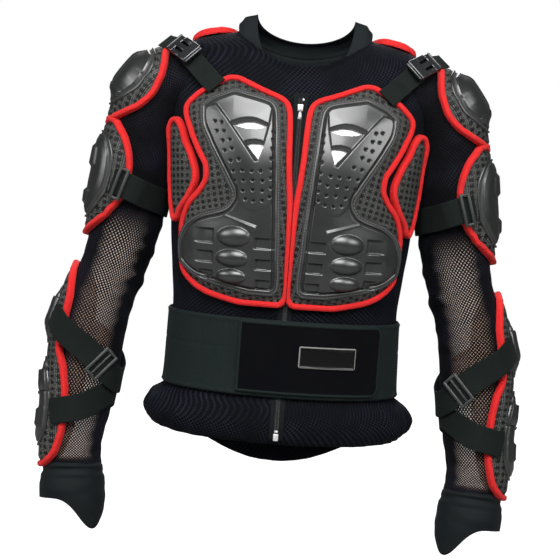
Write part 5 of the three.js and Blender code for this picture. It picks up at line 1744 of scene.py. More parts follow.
INNER_POCKETS = ((14.5, 48.1, -324.0, -338.8), (14.4, 45.6, -353.0, -368.3), (14.4, 43.1, -382.2, -395.2))
OUTER_POCKETS = (
    (103.1, 131.4, -316.1, -335.2), (102.0, 131.1, -346.5, -362.8), (101.7, 124.8, -374.2, -386.6),
)
CRESCENT = tuple(
    [(42.5 + 50.5 * k / 12, -170.0 + 6.6 * math.sin(math.pi * k / 12)) for k in range(12)]
    + [(93.0 - 50.5 * k / 12, -170.0 - 4.6 * math.sin(math.pi * k / 12)) for k in range(12)]
)
PLATE_RIB = ((47.0, -311.5), (92.0, -296.0))
WEDGE = ((46.1, -195.6), (51, -194.0), (57.5, -193.3), (64, -194.0), (71.2, -196.2), (53.2, -217.0))


@dataclass
class ChestPlates(Piece):
    """The hard chest plates with their windows, raised arms, holes, ovals and pockets."""

    foot: float = 10.3
    sunk: float = 1.2
    bead: float = 1.7
    dome: float = 7.2
    rows: int = 300
    columns: int = 140

    def build(self) -> None:
        """Makes both plates and the pale sheets behind their windows."""
        spots = self.chart.front_grid(CHEST_PLATE, 64, 13).fine(self.rows, self.columns)
        x, z = spots.place[..., 0], spots.place[..., 2]
        distance, rim = edge_fields(spots)
        height, tone = self._relief(x, z, distance)
        top = spots.raised(self.foot + height)
        under = spots.raised(self.foot - self.sunk)
        sheet = Sheeting.lidded(top, under, chart_of(spots.place), rim=rim, tone=tone)
        centre = sheet.points[sheet.faces].mean(1)
        windows = [inside_depth(centre[:, 0], centre[:, 2], outline) for outline in (CRESCENT, WEDGE)]
        open_there = np.maximum(*windows)
        self.pair("chest_shell", sheet.kept(open_there < 0.2), "shell", "shell", "chest_plate")
        self._insert()

    def _relief(self, x: Array, z: Array, d: Array) -> tuple[Array, Array]:
        """The plate's heights over its foot, and a tone of painted light: above 0 a painted highlight, below
        0 painted shade in hollows.
        """
        bead = bump(d, 6.3, 1.7)
        body = smoothstep(d, 9.4, 12.2)
        height = 0.9 + self.bead * bead - 0.5 * smoothstep(d, 7.6, 8.6) * (1 - body) + 4.2 * body
        height += 1.6 * smoothstep(d, 12.0, 42.0)
        # Painted highlight on the bead, painted shade on the flange outside it and in the stitched channel
        # inside it.
        tone = 1.1 * bead - 0.5 * (1 - smoothstep(d, 4.4, 5.2)) - 0.7 * bump(d, 8.7, 1.4)
        arms = inside_depth(x, z, PLATE_V)
        raised = smoothstep(arms, -2.2, 1.2)
        height += 2.3 * raised * body
        # Painted highlight along the edge of the raised arms.
        tone += 0.5 * bump(arms, 0.4, 1.4) * body
        above = smoothstep(z, -240.0, -228.0) * (1 - raised) * body
        height -= 1.5 * above
        for hx, hz in PLATE_HOLES:
            away = np.hypot(x - hx, (z - hz) * 1.08)
            pit = 1 - smoothstep(away, 1.7, 2.7)
            height -= 3.0 * pit
            # Painted shade in each hole and a painted highlight on its lower rim.
            tone = np.where(pit > 0.3, -1.0, tone)
            tone += 0.5 * bump(away, 3.1, 0.8) * (z < hz)
        for cx, cz, a, b in PLATE_DOMES:
            q = np.hypot((x - cx) / a, (z - cz) / b)
            height += self.dome * np.clip(1 - q * q, 0, 1) ** 0.72
            # Painted highlight on each oval's upper half and painted shade along its lower edge.
            upper = smoothstep((z - cz) / b, -0.25, 0.6) * (1 - smoothstep(q, 0.55, 0.95))
            tone += 0.85 * upper - 0.6 * bump(q, 1.02, 0.1) * (z < cz + 0.3 * b)
        for pockets, flip in ((INNER_POCKETS, False), (OUTER_POCKETS, True)):
            for left, right, high, low in pockets:
                inside = np.minimum(np.minimum(x - left, right - x), np.minimum(high - z, z - low))
                share = np.clip((x - left) / (right - left), 0, 1)
                share = 1 - share if flip else share
                sunk = smoothstep(inside, -0.6, 0.9) * smoothstep(share, 0.05, 0.65)
                height -= 3.8 * sunk
                # Painted highlight on each pocket's lower lip and painted shade along its top and its wall
                # towards the oval.
                lip = bump(z - low, -0.3, 1.3) * (inside > -1.8) * smoothstep(share, 0.0, 0.3)
                tone += 1.1 * lip
                shade = (high - z < 2.5) | ((x - left if flip else right - x) < 2.6)
                tone = np.where((inside > -0.3) & shade & (share > 0.25), -1.0, tone)
        (ax, az), (bx, bz) = PLATE_RIB
        share = ((x - ax) * (bx - ax) + (z - az) * (bz - az)) / ((bx - ax) ** 2 + (bz - az) ** 2)
        off = (-(x - ax) * (bz - az) + (z - az) * (bx - ax)) / math.hypot(bx - ax, bz - az)
        half = 3.2 * (1.1 - np.clip(share, 0, 1) * 0.8)
        ridge = np.clip(1 - np.abs(off) / half, 0, 1) * ((share > 0) & (share < 1))
        height += 2.4 * ridge
        # Painted highlight along the rib.
        tone += 1.1 * ridge * (off > -0.6)
        lip = np.maximum(inside_depth(x, z, CRESCENT), inside_depth(x, z, WEDGE))
        height -= 1.6 * smoothstep(lip, -2.0, -0.2)
        # Painted shade round the windows' edges.
        tone = np.where(lip > -1.5, -0.8, tone)
        return height, np.clip(tone, -1, 1)

    def _insert(self) -> None:
        """The pale sheet that shows through the windows."""
        x, z = np.meshgrid(np.linspace(38, 97, 30), np.linspace(-160, -222, 32))
        spots = self.chart.on_front(x, z)
        sheet = Sheeting.lidded(spots.raised(10.15), spots.raised(9.4), chart_of(spots.place))
        self.pair("window_sheet", sheet, "pale", "pale", "vent_insert")


@dataclass
class SleeveGuards(Piece):
    """The moulded guards of shoulder, upper arm, elbow and forearm."""

    foot: float = 10.3
    sunk: float = 1.0

    def build(self) -> None:
        """Makes the four guards of each sleeve."""
        wanted = (
            (Guard.SHOULDER, SHOULDER_CUP, "shoulder_cup", (104, 92)),
            (Guard.ARM, ARM_GUARD, "arm_guard", (116, 82)),
            (Guard.ELBOW, ELBOW_CUP, "elbow_cup", (92, 80)),
            (Guard.FOREARM, FOREARM_GUARD, "forearm_guard", (124, 80)),
        )
        for kind, table, name, fine in wanted:
            spots = self.chart.sleeve_grid(table, 20, 11).fine(*fine)
            distance, rim = edge_fields(spots)
            v, u = np.meshgrid(np.linspace(0, 1, fine[0]), np.linspace(0, 1, fine[1]), indexing="ij")
            height, tone = self._relief(kind, v, u, distance)
            top = spots.raised(self.foot + height)
            under = spots.raised(self.foot - self.sunk)
            sheet = Sheeting.lidded(top, under, chart_of(spots.place), rim=rim, tone=tone)
            self.pair(f"{name}_shell", sheet, "shell", "shell", name)

    @staticmethod
    def _block(
        v: Array, across: Array, span: tuple[float, float], soft: float, sides: tuple[float, float]
    ) -> Array:
        """A raised block over a span down the guard, fading at its sides."""
        low, high = span
        block = smoothstep(v, low, low + soft) * (1 - smoothstep(v, high - soft, high))
        return block * (1 - smoothstep(np.abs(across), *sides))

    @staticmethod
    def _relief(kind: Guard, v: Array, u: Array, d: Array) -> tuple[Array, Array]:
        """Heights over the foot, and a tone of painted light: above 0 a painted highlight, below 0 painted
        shade in hollows.
        """
        bead = bump(d, 1.6, 1.8)
        body = smoothstep(d, 5.0, 8.0)
        height = 0.8 + 1.1 * bead - 0.4 * smoothstep(d, 3.0, 4.0) * (1 - body)
        # Painted highlight on the bead and painted shade in the channel inside it; the tone lines below add
        # painted highlights on creases, lips, rings and block flanks, and painted shade beside them.
        tone = 0.6 * bead - 0.5 * smoothstep(d, 3.2, 4.2) * (1 - body)
        across = (u - 0.5) * 2
        if kind is Guard.SHOULDER:
            height += body * (3.0 + 7.0 * smoothstep(d, 5.0, 30.0))
            crease = across + 0.28 - 0.3 * np.sin(np.clip(v / 0.8, 0, 1) * math.pi)
            line = smoothstep(v, 0.08, 0.2) * (1 - smoothstep(v, 0.66, 0.78)) * body
            height += 2.0 * smoothstep(crease, -0.05, 0.05) * line - 1.1 * bump(crease, -0.04, 0.05) * line
            tone += 0.5 * bump(crease, 0.06, 0.06) * line - 0.5 * bump(crease, -0.05, 0.05) * line
            lip = v - 0.1 * across**2
            height += 1.8 * bump(lip, 0.78, 0.05) * body - 1.6 * smoothstep(lip, 0.8, 0.9) * body
            tone += 0.7 * bump(lip, 0.785, 0.03) * body - 0.5 * bump(lip, 0.84, 0.04) * body
        elif kind is Guard.ARM:
            height += body * (2.4 + 2.6 * smoothstep(d, 6.0, 18.0))
            for low, high in ((0.14, 0.4), (0.62, 0.84)):
                block = SleeveGuards._block(v, across, (low, high), 0.05, (0.42, 0.56))
                height += 4.0 * block
                tone += 0.4 * block * (1 - smoothstep(block, 0.6, 1.0)) * 2
        elif kind is Guard.ELBOW:
            height += body * (3.0 + 8.6 * smoothstep(d, 5.0, 26.0))
            ring = np.hypot(across * 0.9, (v - 0.5) * 2)
            height += 1.6 * bump(ring, 0.52, 0.07) * body
            tone += 0.5 * bump(ring, 0.52, 0.07) * body
        else:
            height += body * (2.4 + 3.2 * smoothstep(d, 6.0, 18.0))
            for low, high in ((0.12, 0.38), (0.56, 0.8)):
                block = SleeveGuards._block(v, across, (low, high), 0.04, (0.4, 0.54))
                height += 3.2 * block
                tone += 0.3 * bump(block, 0.5, 0.4)
        return height, np.clip(tone, -1, 1)


OVER_TAPE = 1.3 + 9.2 + 1.3
STRAP_LIFT = 2.2
ARM_STRAP = np.array(
    [
        (67, 4.95, 1), (79, 4.98, 1), (92, 5.02, 1.15), (104, 5.08, 1), (120, 5.15, 0.3), (140, 5.2, 0),
        (160, 5.25, 0), (180, 5.27, 0), (200, 5.25, 0), (220, 5.2, 0), (240, 5.13, 0), (258, 5.07, 0.5),
        (274, 5.02, 1), (287, 4.98, 1), (299, 4.95, 1),
    ]
)
ELBOW_STRAP = np.array(
    [
        (26, 8.78, 1), (44, 8.94, 1), (60, 9.14, 1.12), (80, 9.38, 0.75), (100, 9.64, 0.35),
        (120, 9.9, 0.3), (140, 10.12, 0.38), (160, 10.22, 0.38), (180, 10.2, 0.38), (200, 10.05, 0.38),
        (220, 9.8, 0.3), (240, 9.5, 0.3), (258, 9.2, 0.6), (274, 9.0, 1), (290, 8.85, 1),
    ]
)
WRIST_STRAP = np.array(
    [
        (51, 11.2, 1), (62, 11.16, 1), (74, 11.1, 1), (88, 11.02, 1), (104, 10.92, 0.5), (120, 10.78, 0),
        (140, 10.62, 0), (160, 10.52, 0), (180, 10.5, 0), (200, 10.54, 0), (220, 10.62, 0),
        (240, 10.72, 0.2), (258, 10.82, 1), (274, 10.88, 1), (292, 10.92, 1),
    ]
)


@dataclass
class Straps(Piece):
    """The elastic straps with their loops and the shoulder buckles."""

    width: float = 38.0
    shoulder_width: float = 30.0
    thick: float = 1.8

    def build(self) -> None:
        """Makes every strap, loop and buckle."""
        for name, table, stem, slider in (
            ("arm_webbing", ARM_STRAP, "arm_strap", ("arm_slider", 1.0, 16.0, "arm_loop")),
            ("elbow_webbing", ELBOW_STRAP, "elbow_strap", ("strap_slider", 5.0, 24.0, "strap_loop")),
            ("wrist_webbing", WRIST_STRAP, "wrist_strap", None),
        ):
            spots = self.chart.round_sleeve(table[:, 0], table[:, 1])
            rise = STRAP_LIFT + (OVER_TAPE - STRAP_LIFT) * table[:, 2]
            self._strap(name, spots, rise, self.width, stem)
            if slider:
                self._loop(spots, rise, *slider)
        self._shoulder()

    def _strap(self, name: str, spots: Spots, rise: Array, width: float, stem: str) -> None:
        """One flat strap with rounded edges along its stations."""
        count = 15 * (len(rise) - 1) + 1
        index = np.arange(len(rise))
        at = np.linspace(0, len(rise) - 1, count)
        place = resampled(spots.place, count, 0)
        out = unit(resampled(spots.out, count, 0))
        lift = through(index, rise, at)
        along = unit(np.gradient(place, axis=0))
        wide = unit(np.cross(along, out))
        half, thick = width / 2, self.thick
        profile = [(-half, 0.5 * thick), (-half + 0.5, 0.92 * thick), (-half + 1.6, thick)]
        profile += [(x, thick) for x in np.linspace(-half + 3.0, half - 3.0, 12)]
        profile += [(half - 1.6, thick), (half - 0.5, 0.92 * thick), (half, 0.5 * thick)]
        profile += [(half - 0.5, 0.08 * thick), (half - 2.0, 0.0)]
        profile += [(-half + 2.0, 0.0), (-half + 0.5, 0.08 * thick)]
        cup = ripples(place, 71, 30.0) * 0.3
        rows = [place + wide * across + out * (lift + height + cup)[:, None] for across, height in profile]
        grid = np.stack(rows, 1)
        walked = arc_lengths(place[None], 1)[0]
        across = np.broadcast_to([p[0] for p in profile], grid.shape[:2])
        chart = np.stack([across, np.broadcast_to(walked[:, None], grid.shape[:2])], -1)
        sheet = Sheeting.grid(grid, chart, ringed=True)
        self.pair(name, sheet, "webbing", "webbing", stem)

    def _station(self, spots: Spots, rise: Array, index: float) -> Matrix:
        """The frame of a place on a strap: along it, across it and outward."""
        first = int(index)
        before = spots.place[max(0, first - 1)]
        after = spots.place[min(len(rise) - 1, first + 1)]
        out = spots.out[first]
        wide = unit(np.cross(after - before, out))
        along = unit(np.cross(out, wide))
        centre = spots.place[first] + out * (rise[first] + self.thick)
        rows = [[along[k], wide[k], out[k], centre[k]] for k in range(3)]
        return Matrix(rows + [[0.0, 0.0, 0.0, 1.0]])

    def _loop(self, spots: Spots, rise: Array, name: str, index: float, length: float, stem: str) -> None:
        """A rounded rectangular slider of two long bars, with a middle bar when it is longer than 20
        millimetres.
        """
        frame = self._station(spots, rise, index)
        width = self.width + 10
        bars = [
            ((length / 2 - 2, 0, 2.2), (5.0, width, 4.2)),
            ((-length / 2 + 2, 0, 2.2), (5.0, width, 4.2)),
            ((0, width / 2 - 2, 2.0), (length - 1, 4.6, 3.8)),
            ((0, -width / 2 + 2, 2.0), (length - 1, 4.6, 3.8)),
        ]
        if length > 20:
            bars.append(((0, 0, 1.6), (3.2, width - 4, 1.8)))
        sheet = self.rounded_blocks(bars, frame, 1.6)
        self.pair(name, sheet, "slider", "buckle", stem)

    @staticmethod
    def rounded_blocks(parts: Sequence[tuple[tuple, tuple]], frame: Matrix, round_by: float) -> Sheeting:
        """Rounded blocks at places in a frame, as one sheeting."""
        work = bmesh.new()
        for centre, size in parts:
            made = bmesh.ops.create_cube(work, size=1.0)
            scale = Matrix.Diagonal((*size, 1.0))
            bmesh.ops.transform(work, matrix=Matrix.Translation(centre) @ scale, verts=made["verts"])
            edges = list({edge for vert in made["verts"] for edge in vert.link_edges})
            reach = min(round_by, min(size) * 0.42)
            bmesh.ops.bevel(work, geom=edges, offset=reach, segments=3, affect="EDGES", profile=0.5)
        bmesh.ops.transform(work, matrix=frame, verts=work.verts)
        bmesh.ops.recalc_face_normals(work, faces=work.faces)
        points = np.array([tuple(v.co) for v in work.verts])
        faces = []
        for face in work.faces:
            corners = [v.index for v in face.verts]
            if len(corners) == 3:
                faces.append([*corners, corners[-1]])
            else:
                for k in range(1, len(corners) - 1, 2):
                    last = corners[k + 2] if k + 2 < len(corners) else corners[k + 1]
                    faces.append([corners[0], corners[k], corners[k + 1], last])
        work.free()
        return Sheeting(points, np.array(faces), points[:, [0, 2]])

    def _shoulder(self) -> None:
        """The shoulder strap and its side-release buckle."""
        chart = self.chart
        size = chart.sizes
        across, down = np.array([0.62, 0.7]), np.array([0.196, 0.172])
        front = chart.on_front(across * size.chest_half, -down * size.length)
        turn = np.array([84.0, 68, 50, 34, 20])
        at = np.array([0.9, 1.04, 1.22, 1.42, 1.62])
        over = chart.on_sleeve(turn, at)
        spots = Spots(np.concatenate([front.place, over.place]), np.concatenate([front.out, over.out]))
        share = np.array([1, 0.9, 0.2, 0, 0.05, 0.4, 1.15])
        rise = STRAP_LIFT + (OVER_TAPE - STRAP_LIFT) * share
        self._strap("shoulder_webbing", spots, rise, self.shoulder_width, "shoulder_strap")
        frame = self._station(spots, rise, 4)
        blocks = [
            ((-13, 0, 5.0), (16, 34, 8.6)),
            ((1.5, 13.6, 5.0), (18, 6.4, 8.0)),
            ((1.5, -13.6, 5.0), (18, 6.4, 8.0)),
            ((4.0, 0, 5.0), (24, 9.0, 5.6)),
            ((4.0, 10.2, 4.6), (20, 3.0, 5.0)),
            ((4.0, -10.2, 4.6), (20, 3.0, 5.0)),
            ((17.5, 0, 4.2), (11, 31, 5.4)),
            ((22.0, 0, 6.0), (3.2, 31, 4.0)),
            ((-22.0, 0, 4.6), (3.2, 32, 5.0)),
        ]
        sheet = self.rounded_blocks(blocks, frame, 1.8)
        self.pair("release_buckle", sheet, "buckle", "buckle", "shoulder_buckle")


@dataclass
class WaistBelt(Piece):
    """The elastic waist belt with its brushed flap and blank patch."""

    top: float = 439.8
    width: float = 110.0
    foot: float = 2.9
    thick: float = 3.0
    seam_across: float = -76.0
    flap_end: float = 140.0
    ahead: Colour = (0.4, 1.0, 0.0)

    def build(self) -> None:
        """Makes the belt, the flap and the patch."""
        self._belt()
        self._flap()
        self._patch()

    def _front(self, x: Array, z: Array, lift: Array | float) -> Array:
        """Points over the torso's front at a height above it."""
        return self.chart.torso_point(self.chart.turn_across(x, z), z, lift)

    def _belt(self) -> None:
        """The elastic band, welted at both edges and seamed."""
        share = np.linspace(0, 1, 45)
        turn = even_turns(300)
        turns, down = np.meshgrid(turn, share)
        z = -self.top - down * self.width
        edge = np.minimum(down, 1 - down) * self.width
        lift = self.foot + self.thick + 0.9 * bump(edge, 2.6, 2.6) - 1.0 * (1 - smoothstep(edge, 0.0, 1.4))
        front = self.chart.torso_point(turns, z)
        x, ahead = front[..., 0], front[..., 1] < 0
        seam = np.exp(-(((x - self.seam_across) / 1.6) ** 2)) * ahead
        bare = ahead * ((x < self.seam_across) | (x > self.flap_end))
        middle = np.exp(-(((down - 0.4) * self.width / 1.3) ** 2)) * bare
        double = np.exp(-(((x - self.seam_across + 9) / 1.2) ** 2)) * ahead
        slack = ripples(front, 81, 34.0, (0.6, 0.6, 2.2)) * 0.7
        lift = lift - 0.9 * seam - 0.8 * middle - 0.5 * double + slack
        outer = self.chart.torso_point(turns, z, lift)
        inner = self.chart.torso_point(turns, z, self.foot + slack * 0.5)
        grid = np.concatenate([outer, inner[::-1]])
        around = ring_lengths(grid)
        sheet = Sheeting.grid(grid, np.stack([arc_lengths(grid, 0), around], -1), ringed=True, closed=True)
        self.single("waist_elastic", sheet, "belt_elastic", "webbing", "belt")

    def _panel(
        self,
        box: tuple[float, float, float, float],
        corners: tuple[float, float],
        low: float,
        thick: float,
        grid: tuple[int, int],
    ) -> tuple[Array, Array, Array]:
        """A thin panel over the belt with rounded corners at its two ends.

        Args:
            box: Left, right, top and bottom in millimetres.
            corners: Corner radius at the left and right end.
            low: Height of its underside.
            thick: Its thickness.
            grid: Rows and columns.

        Returns:
            Its top and bottom points, and how far each lies from its edge.
        """
        left, right, top, bottom = box
        v = np.linspace(0, 1, grid[0])[:, None]
        u = np.linspace(0, 1, grid[1])[None, :]
        z = top + (bottom - top) * v
        drop = np.minimum(v, 1 - v) * abs(bottom - top)

        def inset(radius: float) -> Array:
            short = np.clip(radius - drop, 0, radius)
            return radius - np.sqrt(np.maximum(radius**2 - short**2, 0))

        first, last = left + inset(corners[0]), right - inset(corners[1])
        x = first + (last - first) * u
        z = np.broadcast_to(z, x.shape)
        edge = np.minimum(np.minimum(x - first, last - x), np.broadcast_to(drop, x.shape))
        lift = low + thick - thick * 0.6 * (1 - smoothstep(edge, 0.0, 1.6))
        return self._front(x, z, lift), self._front(x, z, low), edge

    def _edged(
        self, name: str, panel: tuple[Array, Array, Array], finishes: tuple[str, str], width: float
    ) -> bpy.types.Object:
        """A panel's mesh, with its second finish on a rim of the given width."""
        top, under, edge = panel
        sheet = Sheeting.lidded(top, under, chart_of(top))
        piece = sheet.mesh(name, self.finishes[finishes[0]])
        piece.data.materials.append(self.finishes[finishes[1]])
        rim = np.pad(edge, 1, mode="edge").reshape(-1)[sheet.faces].mean(1) < width
        piece.data.polygons.foreach_set("material_index", rim.astype(np.int32))
        return piece

    def _flap(self) -> None:
        """The brushed flap, bound along its edge."""
        box = (-60.8, 135.9, -self.top - 1.6, -self.top - 105.0)
        top, under, edge = self._panel(box, (3.0, 14.0), self.foot + self.thick + 1.2, 2.4, (70, 130))
        welt = bump(edge, 2.6, 2.8) * 0.9
        outward = unit(top * self.ahead)
        puff = ripples(top, 91, 40.0) * 0.4
        top = top + outward * (welt + puff)[..., None]
        piece = self._edged("belt_flap_cloth", (top, under, edge), ("velvet", "belt_elastic"), 4.6)
        self.settle(piece, "velvet", "belt_flap")

    def _patch(self) -> None:
        """The blank glossy patch with its pale turned edge."""
        box = (22.5, 99.0, -473.5, -504.5)
        top, under, edge = self._panel(box, (2.5, 2.5), self.foot + self.thick + 4.4, 1.1, (44, 96))
        outward = unit(top * self.ahead)
        top = top + outward * (bump(edge, 1.1, 1.3) * 0.6 - 0.25 * bump(edge, 3.4, 0.8))[..., None]
        piece = self._edged("belt_blank_patch", (top, under, edge), ("faux_leather", "leather_edge"), 1.3)
        self.settle(piece, "faux_leather", "belt_patch")


@dataclass
class FrontZip(Piece):
    """The zip with its tape, coil, slider, pull and end stop."""

    top: float = 117.0
    bottom: float = 609.0
    tape_half: float = 10.0

    def build(self) -> None:
        """Makes the tape with its coil, and the metal parts."""
        self._tape()
        self._coil()
        self._slider()

    def _tape(self) -> None:
        """The woven tape, with a raised lip beside the coil."""
        z = -np.linspace(self.top, self.bottom, 220)
        x = np.linspace(-self.tape_half, self.tape_half, 21)
        xs, zs = np.meshgrid(x, z)
        height = 0.9 + 0.8 * bump(np.abs(xs), 4.6, 1.8)
        points = self.chart.torso_point(self.chart.turn_across(xs, zs), zs)
        top = points - np.array([0.0, 1.0, 0.0]) * height[..., None]
        under = points - np.array([0.0, 0.3, 0.0])
        sheet = Sheeting.lidded(top, under, np.stack([xs, -zs], -1))
        self.single("zip_tape", sheet, "zip_cloth", "webbing", "zip")

    def _coil(self) -> None:
        """The fine coil down the middle."""
        pitch = 1.7
        count = int((self.bottom - self.top - 16) / pitch)
        centre = -(self.top + 8 + np.arange(count) * pitch)
        ring = np.linspace(0, math.pi, 5)
        rows = []
        for z in centre:
            for side in (-1, 1):
                lean = side * 0.4
                for end in (0.0, 1.0):
                    x = side * (0.3 + 2.7 * end)
                    y = self.chart.torso_point(np.array(90.0), np.array(z))[1] - 1.0
                    rows.append([(x, y - 1.1 * math.sin(a), z + lean + 0.62 * math.cos(a)) for a in ring])
        points = np.array(rows)
        pairs = np.arange(0, len(rows), 2)
        faces = []
        for k in pairs:
            for c in range(4):
                a, b = k * 5 + c, (k + 1) * 5 + c
                faces.append([a, a + 1, b + 1, b])
        flat = points.reshape(-1, 3)
        sheet = Sheeting(flat, np.array(faces), flat[:, [0, 2]])
        self.single("zip_coil", sheet, "zip_teeth", "webbing")

    def _slider(self) -> None:
        """The slider, its hanging pull with a hole, the stops."""
        def at(z: float) -> float:
            return float(self.chart.torso_point(np.array(90.0), np.array(z))[1])

        y = at(-141.0)
        blocks = [
            ((0, y - 3.4, -138.5), (7.6, 2.6, 9.5)),
            ((0, y - 5.3, -139.0), (2.6, 2.2, 6.0)),
            ((3.6, at(-126.5) - 2.2, -126.5), (2.6, 2.0, 3.4)),
            ((0, at(-604.0) - 2.6, -604.5), (7.2, 2.8, 10.0)),
            ((0, at(-597.0) - 2.6, -596.0), (5.0, 2.6, 3.0)),
        ]
        body = Straps.rounded_blocks(blocks, Matrix.Identity(4), 0.9)
        work = bmesh.new()
        steps = 20
        angles = [math.pi * 2 * k / steps for k in range(steps)]
        outline = []
        for a in angles:
            widen = 3.6 if math.sin(a) < 0 else 2.5
            outline.append((widen * math.cos(a), 8.6 * math.sin(a) + (1.0 if math.sin(a) < 0 else 0)))
        hole = [(1.5 * math.cos(a), -5.2 + 1.5 * math.sin(a)) for a in angles]
        rings = []
        for depth in (0.0, -1.5):
            for line in (outline, hole):
                rings.append([work.verts.new((px, y - 5.2 + depth, -152.5 + pz)) for px, pz in line])
        for first, second in ((0, 1), (3, 2), (2, 0), (1, 3)):
            for k in range(steps):
                after = (k + 1) % steps
                work.faces.new((rings[first][k], rings[first][after], rings[second][after], rings[second][k]))
        bmesh.ops.recalc_face_normals(work, faces=work.faces)
        work.verts.index_update()
        points = np.array([tuple(v.co) for v in work.verts])
        faces = np.array([[v.index for v in face.verts] for face in work.faces])
        work.free()
        pull = Sheeting(points, faces, points[:, [0, 2]])
        piece = body.joined(pull).mesh("zip_slider", self.finishes["zip_metal"], crisp=True)
        self.settle(piece, "zip_metal", "zip_pull")


BACK_PAD = np.array(
    [
        (-0.84, 0.045, 0.34), (-0.76, 0.016, 0.42), (-0.66, 0.012, 0.52), (-0.54, 0.05, 0.6),
        (-0.42, 0.09, 0.64), (-0.22, 0.12, 0.655), (0, 0.125, 0.655), (0.22, 0.12, 0.655),
        (0.42, 0.09, 0.64), (0.54, 0.05, 0.6), (0.66, 0.012, 0.52), (0.76, 0.016, 0.42),
        (0.84, 0.045, 0.34),
    ]
)


@dataclass
class BackArmour(Piece):
    """The back pad over the shoulders with its tape, and the plated spine guard."""

    foot: float = 10.3
    sunk: float = 1.0
    plates: int = 5
    spine_top: float = 0.19
    spine_bottom: float = 0.62
    spine_half: float = 0.3

    def build(self, padding: Padding) -> None:
        """Makes the pad, the tape and the guard.

        Args:
            padding: What shapes pads and tapes elsewhere on the jacket.
        """
        size = self.chart.sizes
        across = np.linspace(-0.84, 0.84, 41)
        top = through(BACK_PAD[:, 0], BACK_PAD[:, 1], across)
        bottom = through(BACK_PAD[:, 0], BACK_PAD[:, 2], across)
        share = np.linspace(0, 1, 34)[:, None]
        drop = (top + (bottom - top) * share) * size.length
        x = np.broadcast_to(across * size.chest_half, drop.shape)
        spots = self.chart.on_back(x, drop).fine(130, 118)
        chart = np.stack([spots.place[..., 0], arc_lengths(spots.place, 0)], -1)
        piece = self.single("back_padding", padding.cover(spots, chart, 58, 20.0), "foam", "foam", "back_pad")
        tape = padding.tape(even_loop(spots.edge(), 2.2, 5.0), None)
        self.single("back_tape", tape, "tape", "tape", "back_binding")
        self._spine()

    def _spine(self) -> None:
        """The overlapping plates down the spine."""
        size = self.chart.sizes
        rows, columns = 190, 80
        v = np.linspace(0, 1, 60)[:, None]
        u = np.linspace(-1, 1, 13)[None, :]
        half = self.spine_half * (1 - 0.4 * v) * size.chest_half
        x = half * u
        down = self.spine_top + (self.spine_bottom - self.spine_top) * v
        drop = np.broadcast_to(down * size.length, x.shape)
        spots = self.chart.on_back(x, drop).fine(rows, columns)
        v = np.linspace(0, 1, rows)[:, None]
        u = np.linspace(-1, 1, columns)[None, :]
        plate = v * self.plates
        within = plate - np.floor(np.minimum(plate, self.plates - 1e-6))
        within = np.clip(within, 0, 1)
        step = 2.6 * (1 - within) * smoothstep(within, 0.0, 0.06)
        rib = 1.8 * np.exp(-((u / 0.16) ** 2)) + 1.2 * np.exp(-(((np.abs(u) - 0.55) / 0.08) ** 2))
        distance, rim = edge_fields(spots)
        round_off = smoothstep(distance, 0.0, 5.0)
        notch = 1 - smoothstep(np.minimum(within, 1 - within), 0.0, 0.03)
        height = 0.8 + round_off * (2.2 + step + rib) - 1.2 * notch
        # Painted highlight on the bead and along the middle rib, painted shade in the notches between the
        # plates.
        tone = 0.6 * bump(distance, 1.6, 1.8) + 0.3 * np.exp(-((u / 0.1) ** 2)) - 0.9 * notch
        top, under = spots.raised(self.foot + height), spots.raised(self.foot - self.sunk)
        sheet = Sheeting.lidded(top, under, chart_of(spots.place), rim=rim, tone=np.clip(tone, -1, 1))
        self.single("spine_shell", sheet, "plain_shell", "shell", "spine_guard")


# The studio


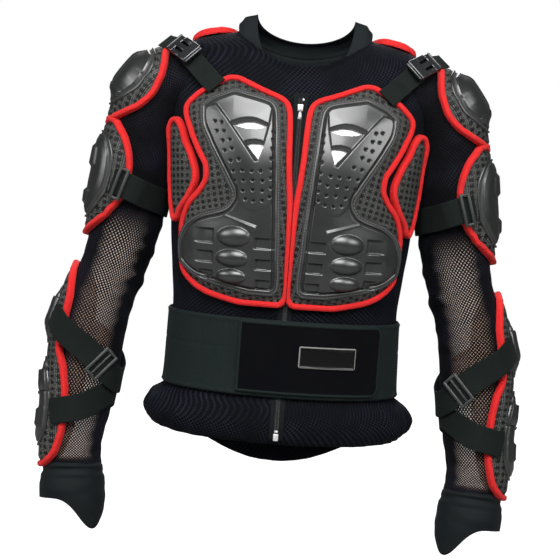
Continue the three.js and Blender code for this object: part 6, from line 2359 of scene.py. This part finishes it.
@dataclass(frozen=True)
class Studio:
    """Floor, light and camera."""

    distance: float = 1.8
    half_angle: float = 13.13
    roll: float = 4.3
    aside: float = -0.0105
    eye_height: float = -0.225
    aim_height: float = -0.35
    surround: float = 0.1
    floor: float = -0.86

    def build(self) -> None:
        """Makes the whole studio."""
        self._camera()
        self._lights()
        self._floor()

    def _camera(self) -> None:
        """The camera in front, rolled a little."""
        data = bpy.data.cameras.new("camera")
        data.sensor_width = 36.0
        data.lens = 18.0 / math.tan(math.radians(self.half_angle))
        camera = bpy.data.objects.new("camera", data)
        bpy.context.scene.collection.objects.link(camera)
        eye = Vector((self.aside, -self.distance, self.eye_height))
        aim = Vector((self.aside, 0.0, self.aim_height))
        look = (aim - eye).to_track_quat("-Z", "Y").to_matrix().to_4x4()
        roll = Matrix.Rotation(math.radians(self.roll), 4, "Z")
        camera.matrix_world = Matrix.Translation(eye) @ look @ roll
        bpy.context.scene.camera = camera

    def _lights(self) -> None:
        """Soft boxes in front, above and at the sides, with a pale surround."""
        boxes = (
            ((-0.1, -1.7, 1.35), (0.0, 0.0, -0.2), 1.5, 78.0),
            ((1.5, -1.3, 0.6), (0.1, 0.0, -0.3), 0.9, 19.0),
            ((-1.7, -1.0, 0.4), (0.0, 0.0, -0.3), 0.9, 17.0),
            ((0.0, 1.7, 1.2), (0.0, 0.0, -0.3), 1.4, 30.0),
        )
        for number, (place, aim, size, power) in enumerate(boxes):
            data = bpy.data.lights.new(f"soft_box_{number}", "AREA")
            data.shape = "SQUARE"
            data.size = size
            data.energy = power
            light = bpy.data.objects.new(f"soft_box_{number}", data)
            light.location = place
            light.rotation_euler = (Vector(aim) - Vector(place)).to_track_quat("-Z", "Y").to_euler()
            bpy.context.scene.collection.objects.link(light)
        world = bpy.data.worlds.new("pale_surround")
        world.use_nodes = True
        nodes = Nodes(world.node_tree)
        ground = world.node_tree.nodes["Background"]
        ground.inputs["Color"].default_value = (1.0, 1.0, 1.0, 1.0)
        seen = nodes.add("ShaderNodeLightPath").outputs["Is Camera Ray"]
        strength = nodes.math("MULTIPLY_ADD", seen, 1.0 - self.surround, self.surround)
        nodes.link(strength, ground.inputs["Strength"])
        bpy.context.scene.world = world
        bpy.context.scene.view_settings.view_transform = "Standard"

    def _floor(self) -> None:
        """A plain pale floor."""
        data = bpy.data.meshes.new("floor")
        reach = 4.0
        signs = ((-1, -1), (1, -1), (1, 1), (-1, 1))
        corners = [(reach * x, reach * y, self.floor) for x, y in signs]
        data.from_pydata(corners, [], [(0, 1, 2, 3)])
        material = bpy.data.materials.new("pale_floor")
        material.use_nodes = True
        shader = material.node_tree.nodes["Principled BSDF"]
        shader.inputs["Base Color"].default_value = (0.3, 0.3, 0.3, 1.0)
        shader.inputs["Roughness"].default_value = 0.8
        nodes = Nodes(material.node_tree)
        seen = nodes.add("ShaderNodeLightPath").outputs["Is Camera Ray"]
        nodes.link(nodes.mix(seen, (0.0, 0.0, 0.0), (1.0, 1.0, 1.0)), shader.inputs["Emission Color"])
        shader.inputs["Emission Strength"].default_value = 0.95
        data.materials.append(material)
        floor = bpy.data.objects.new("floor", data)
        bpy.context.scene.collection.objects.link(floor)


def main() -> None:
    """Builds the jacket piece by piece and the studio round it."""
    logging.basicConfig(level=logging.INFO, format="%(name)s %(message)s")
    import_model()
    Studio().build()
    finishes = Finishes.build()
    chart = BodyChart()
    padding = Padding(finishes, chart)
    for maker in (
        Jersey(finishes, chart),
        Cuffs(finishes, chart),
        Collar(finishes, chart),
        padding,
        ChestPlates(finishes, chart),
        SleeveGuards(finishes, chart),
        Straps(finishes, chart),
        WaistBelt(finishes, chart),
        FrontZip(finishes, chart),
    ):
        maker.build()
        LOG.info("built %s", type(maker).__name__)
    BackArmour(finishes, chart).build(padding)


if __name__ == "__main__":
    main()
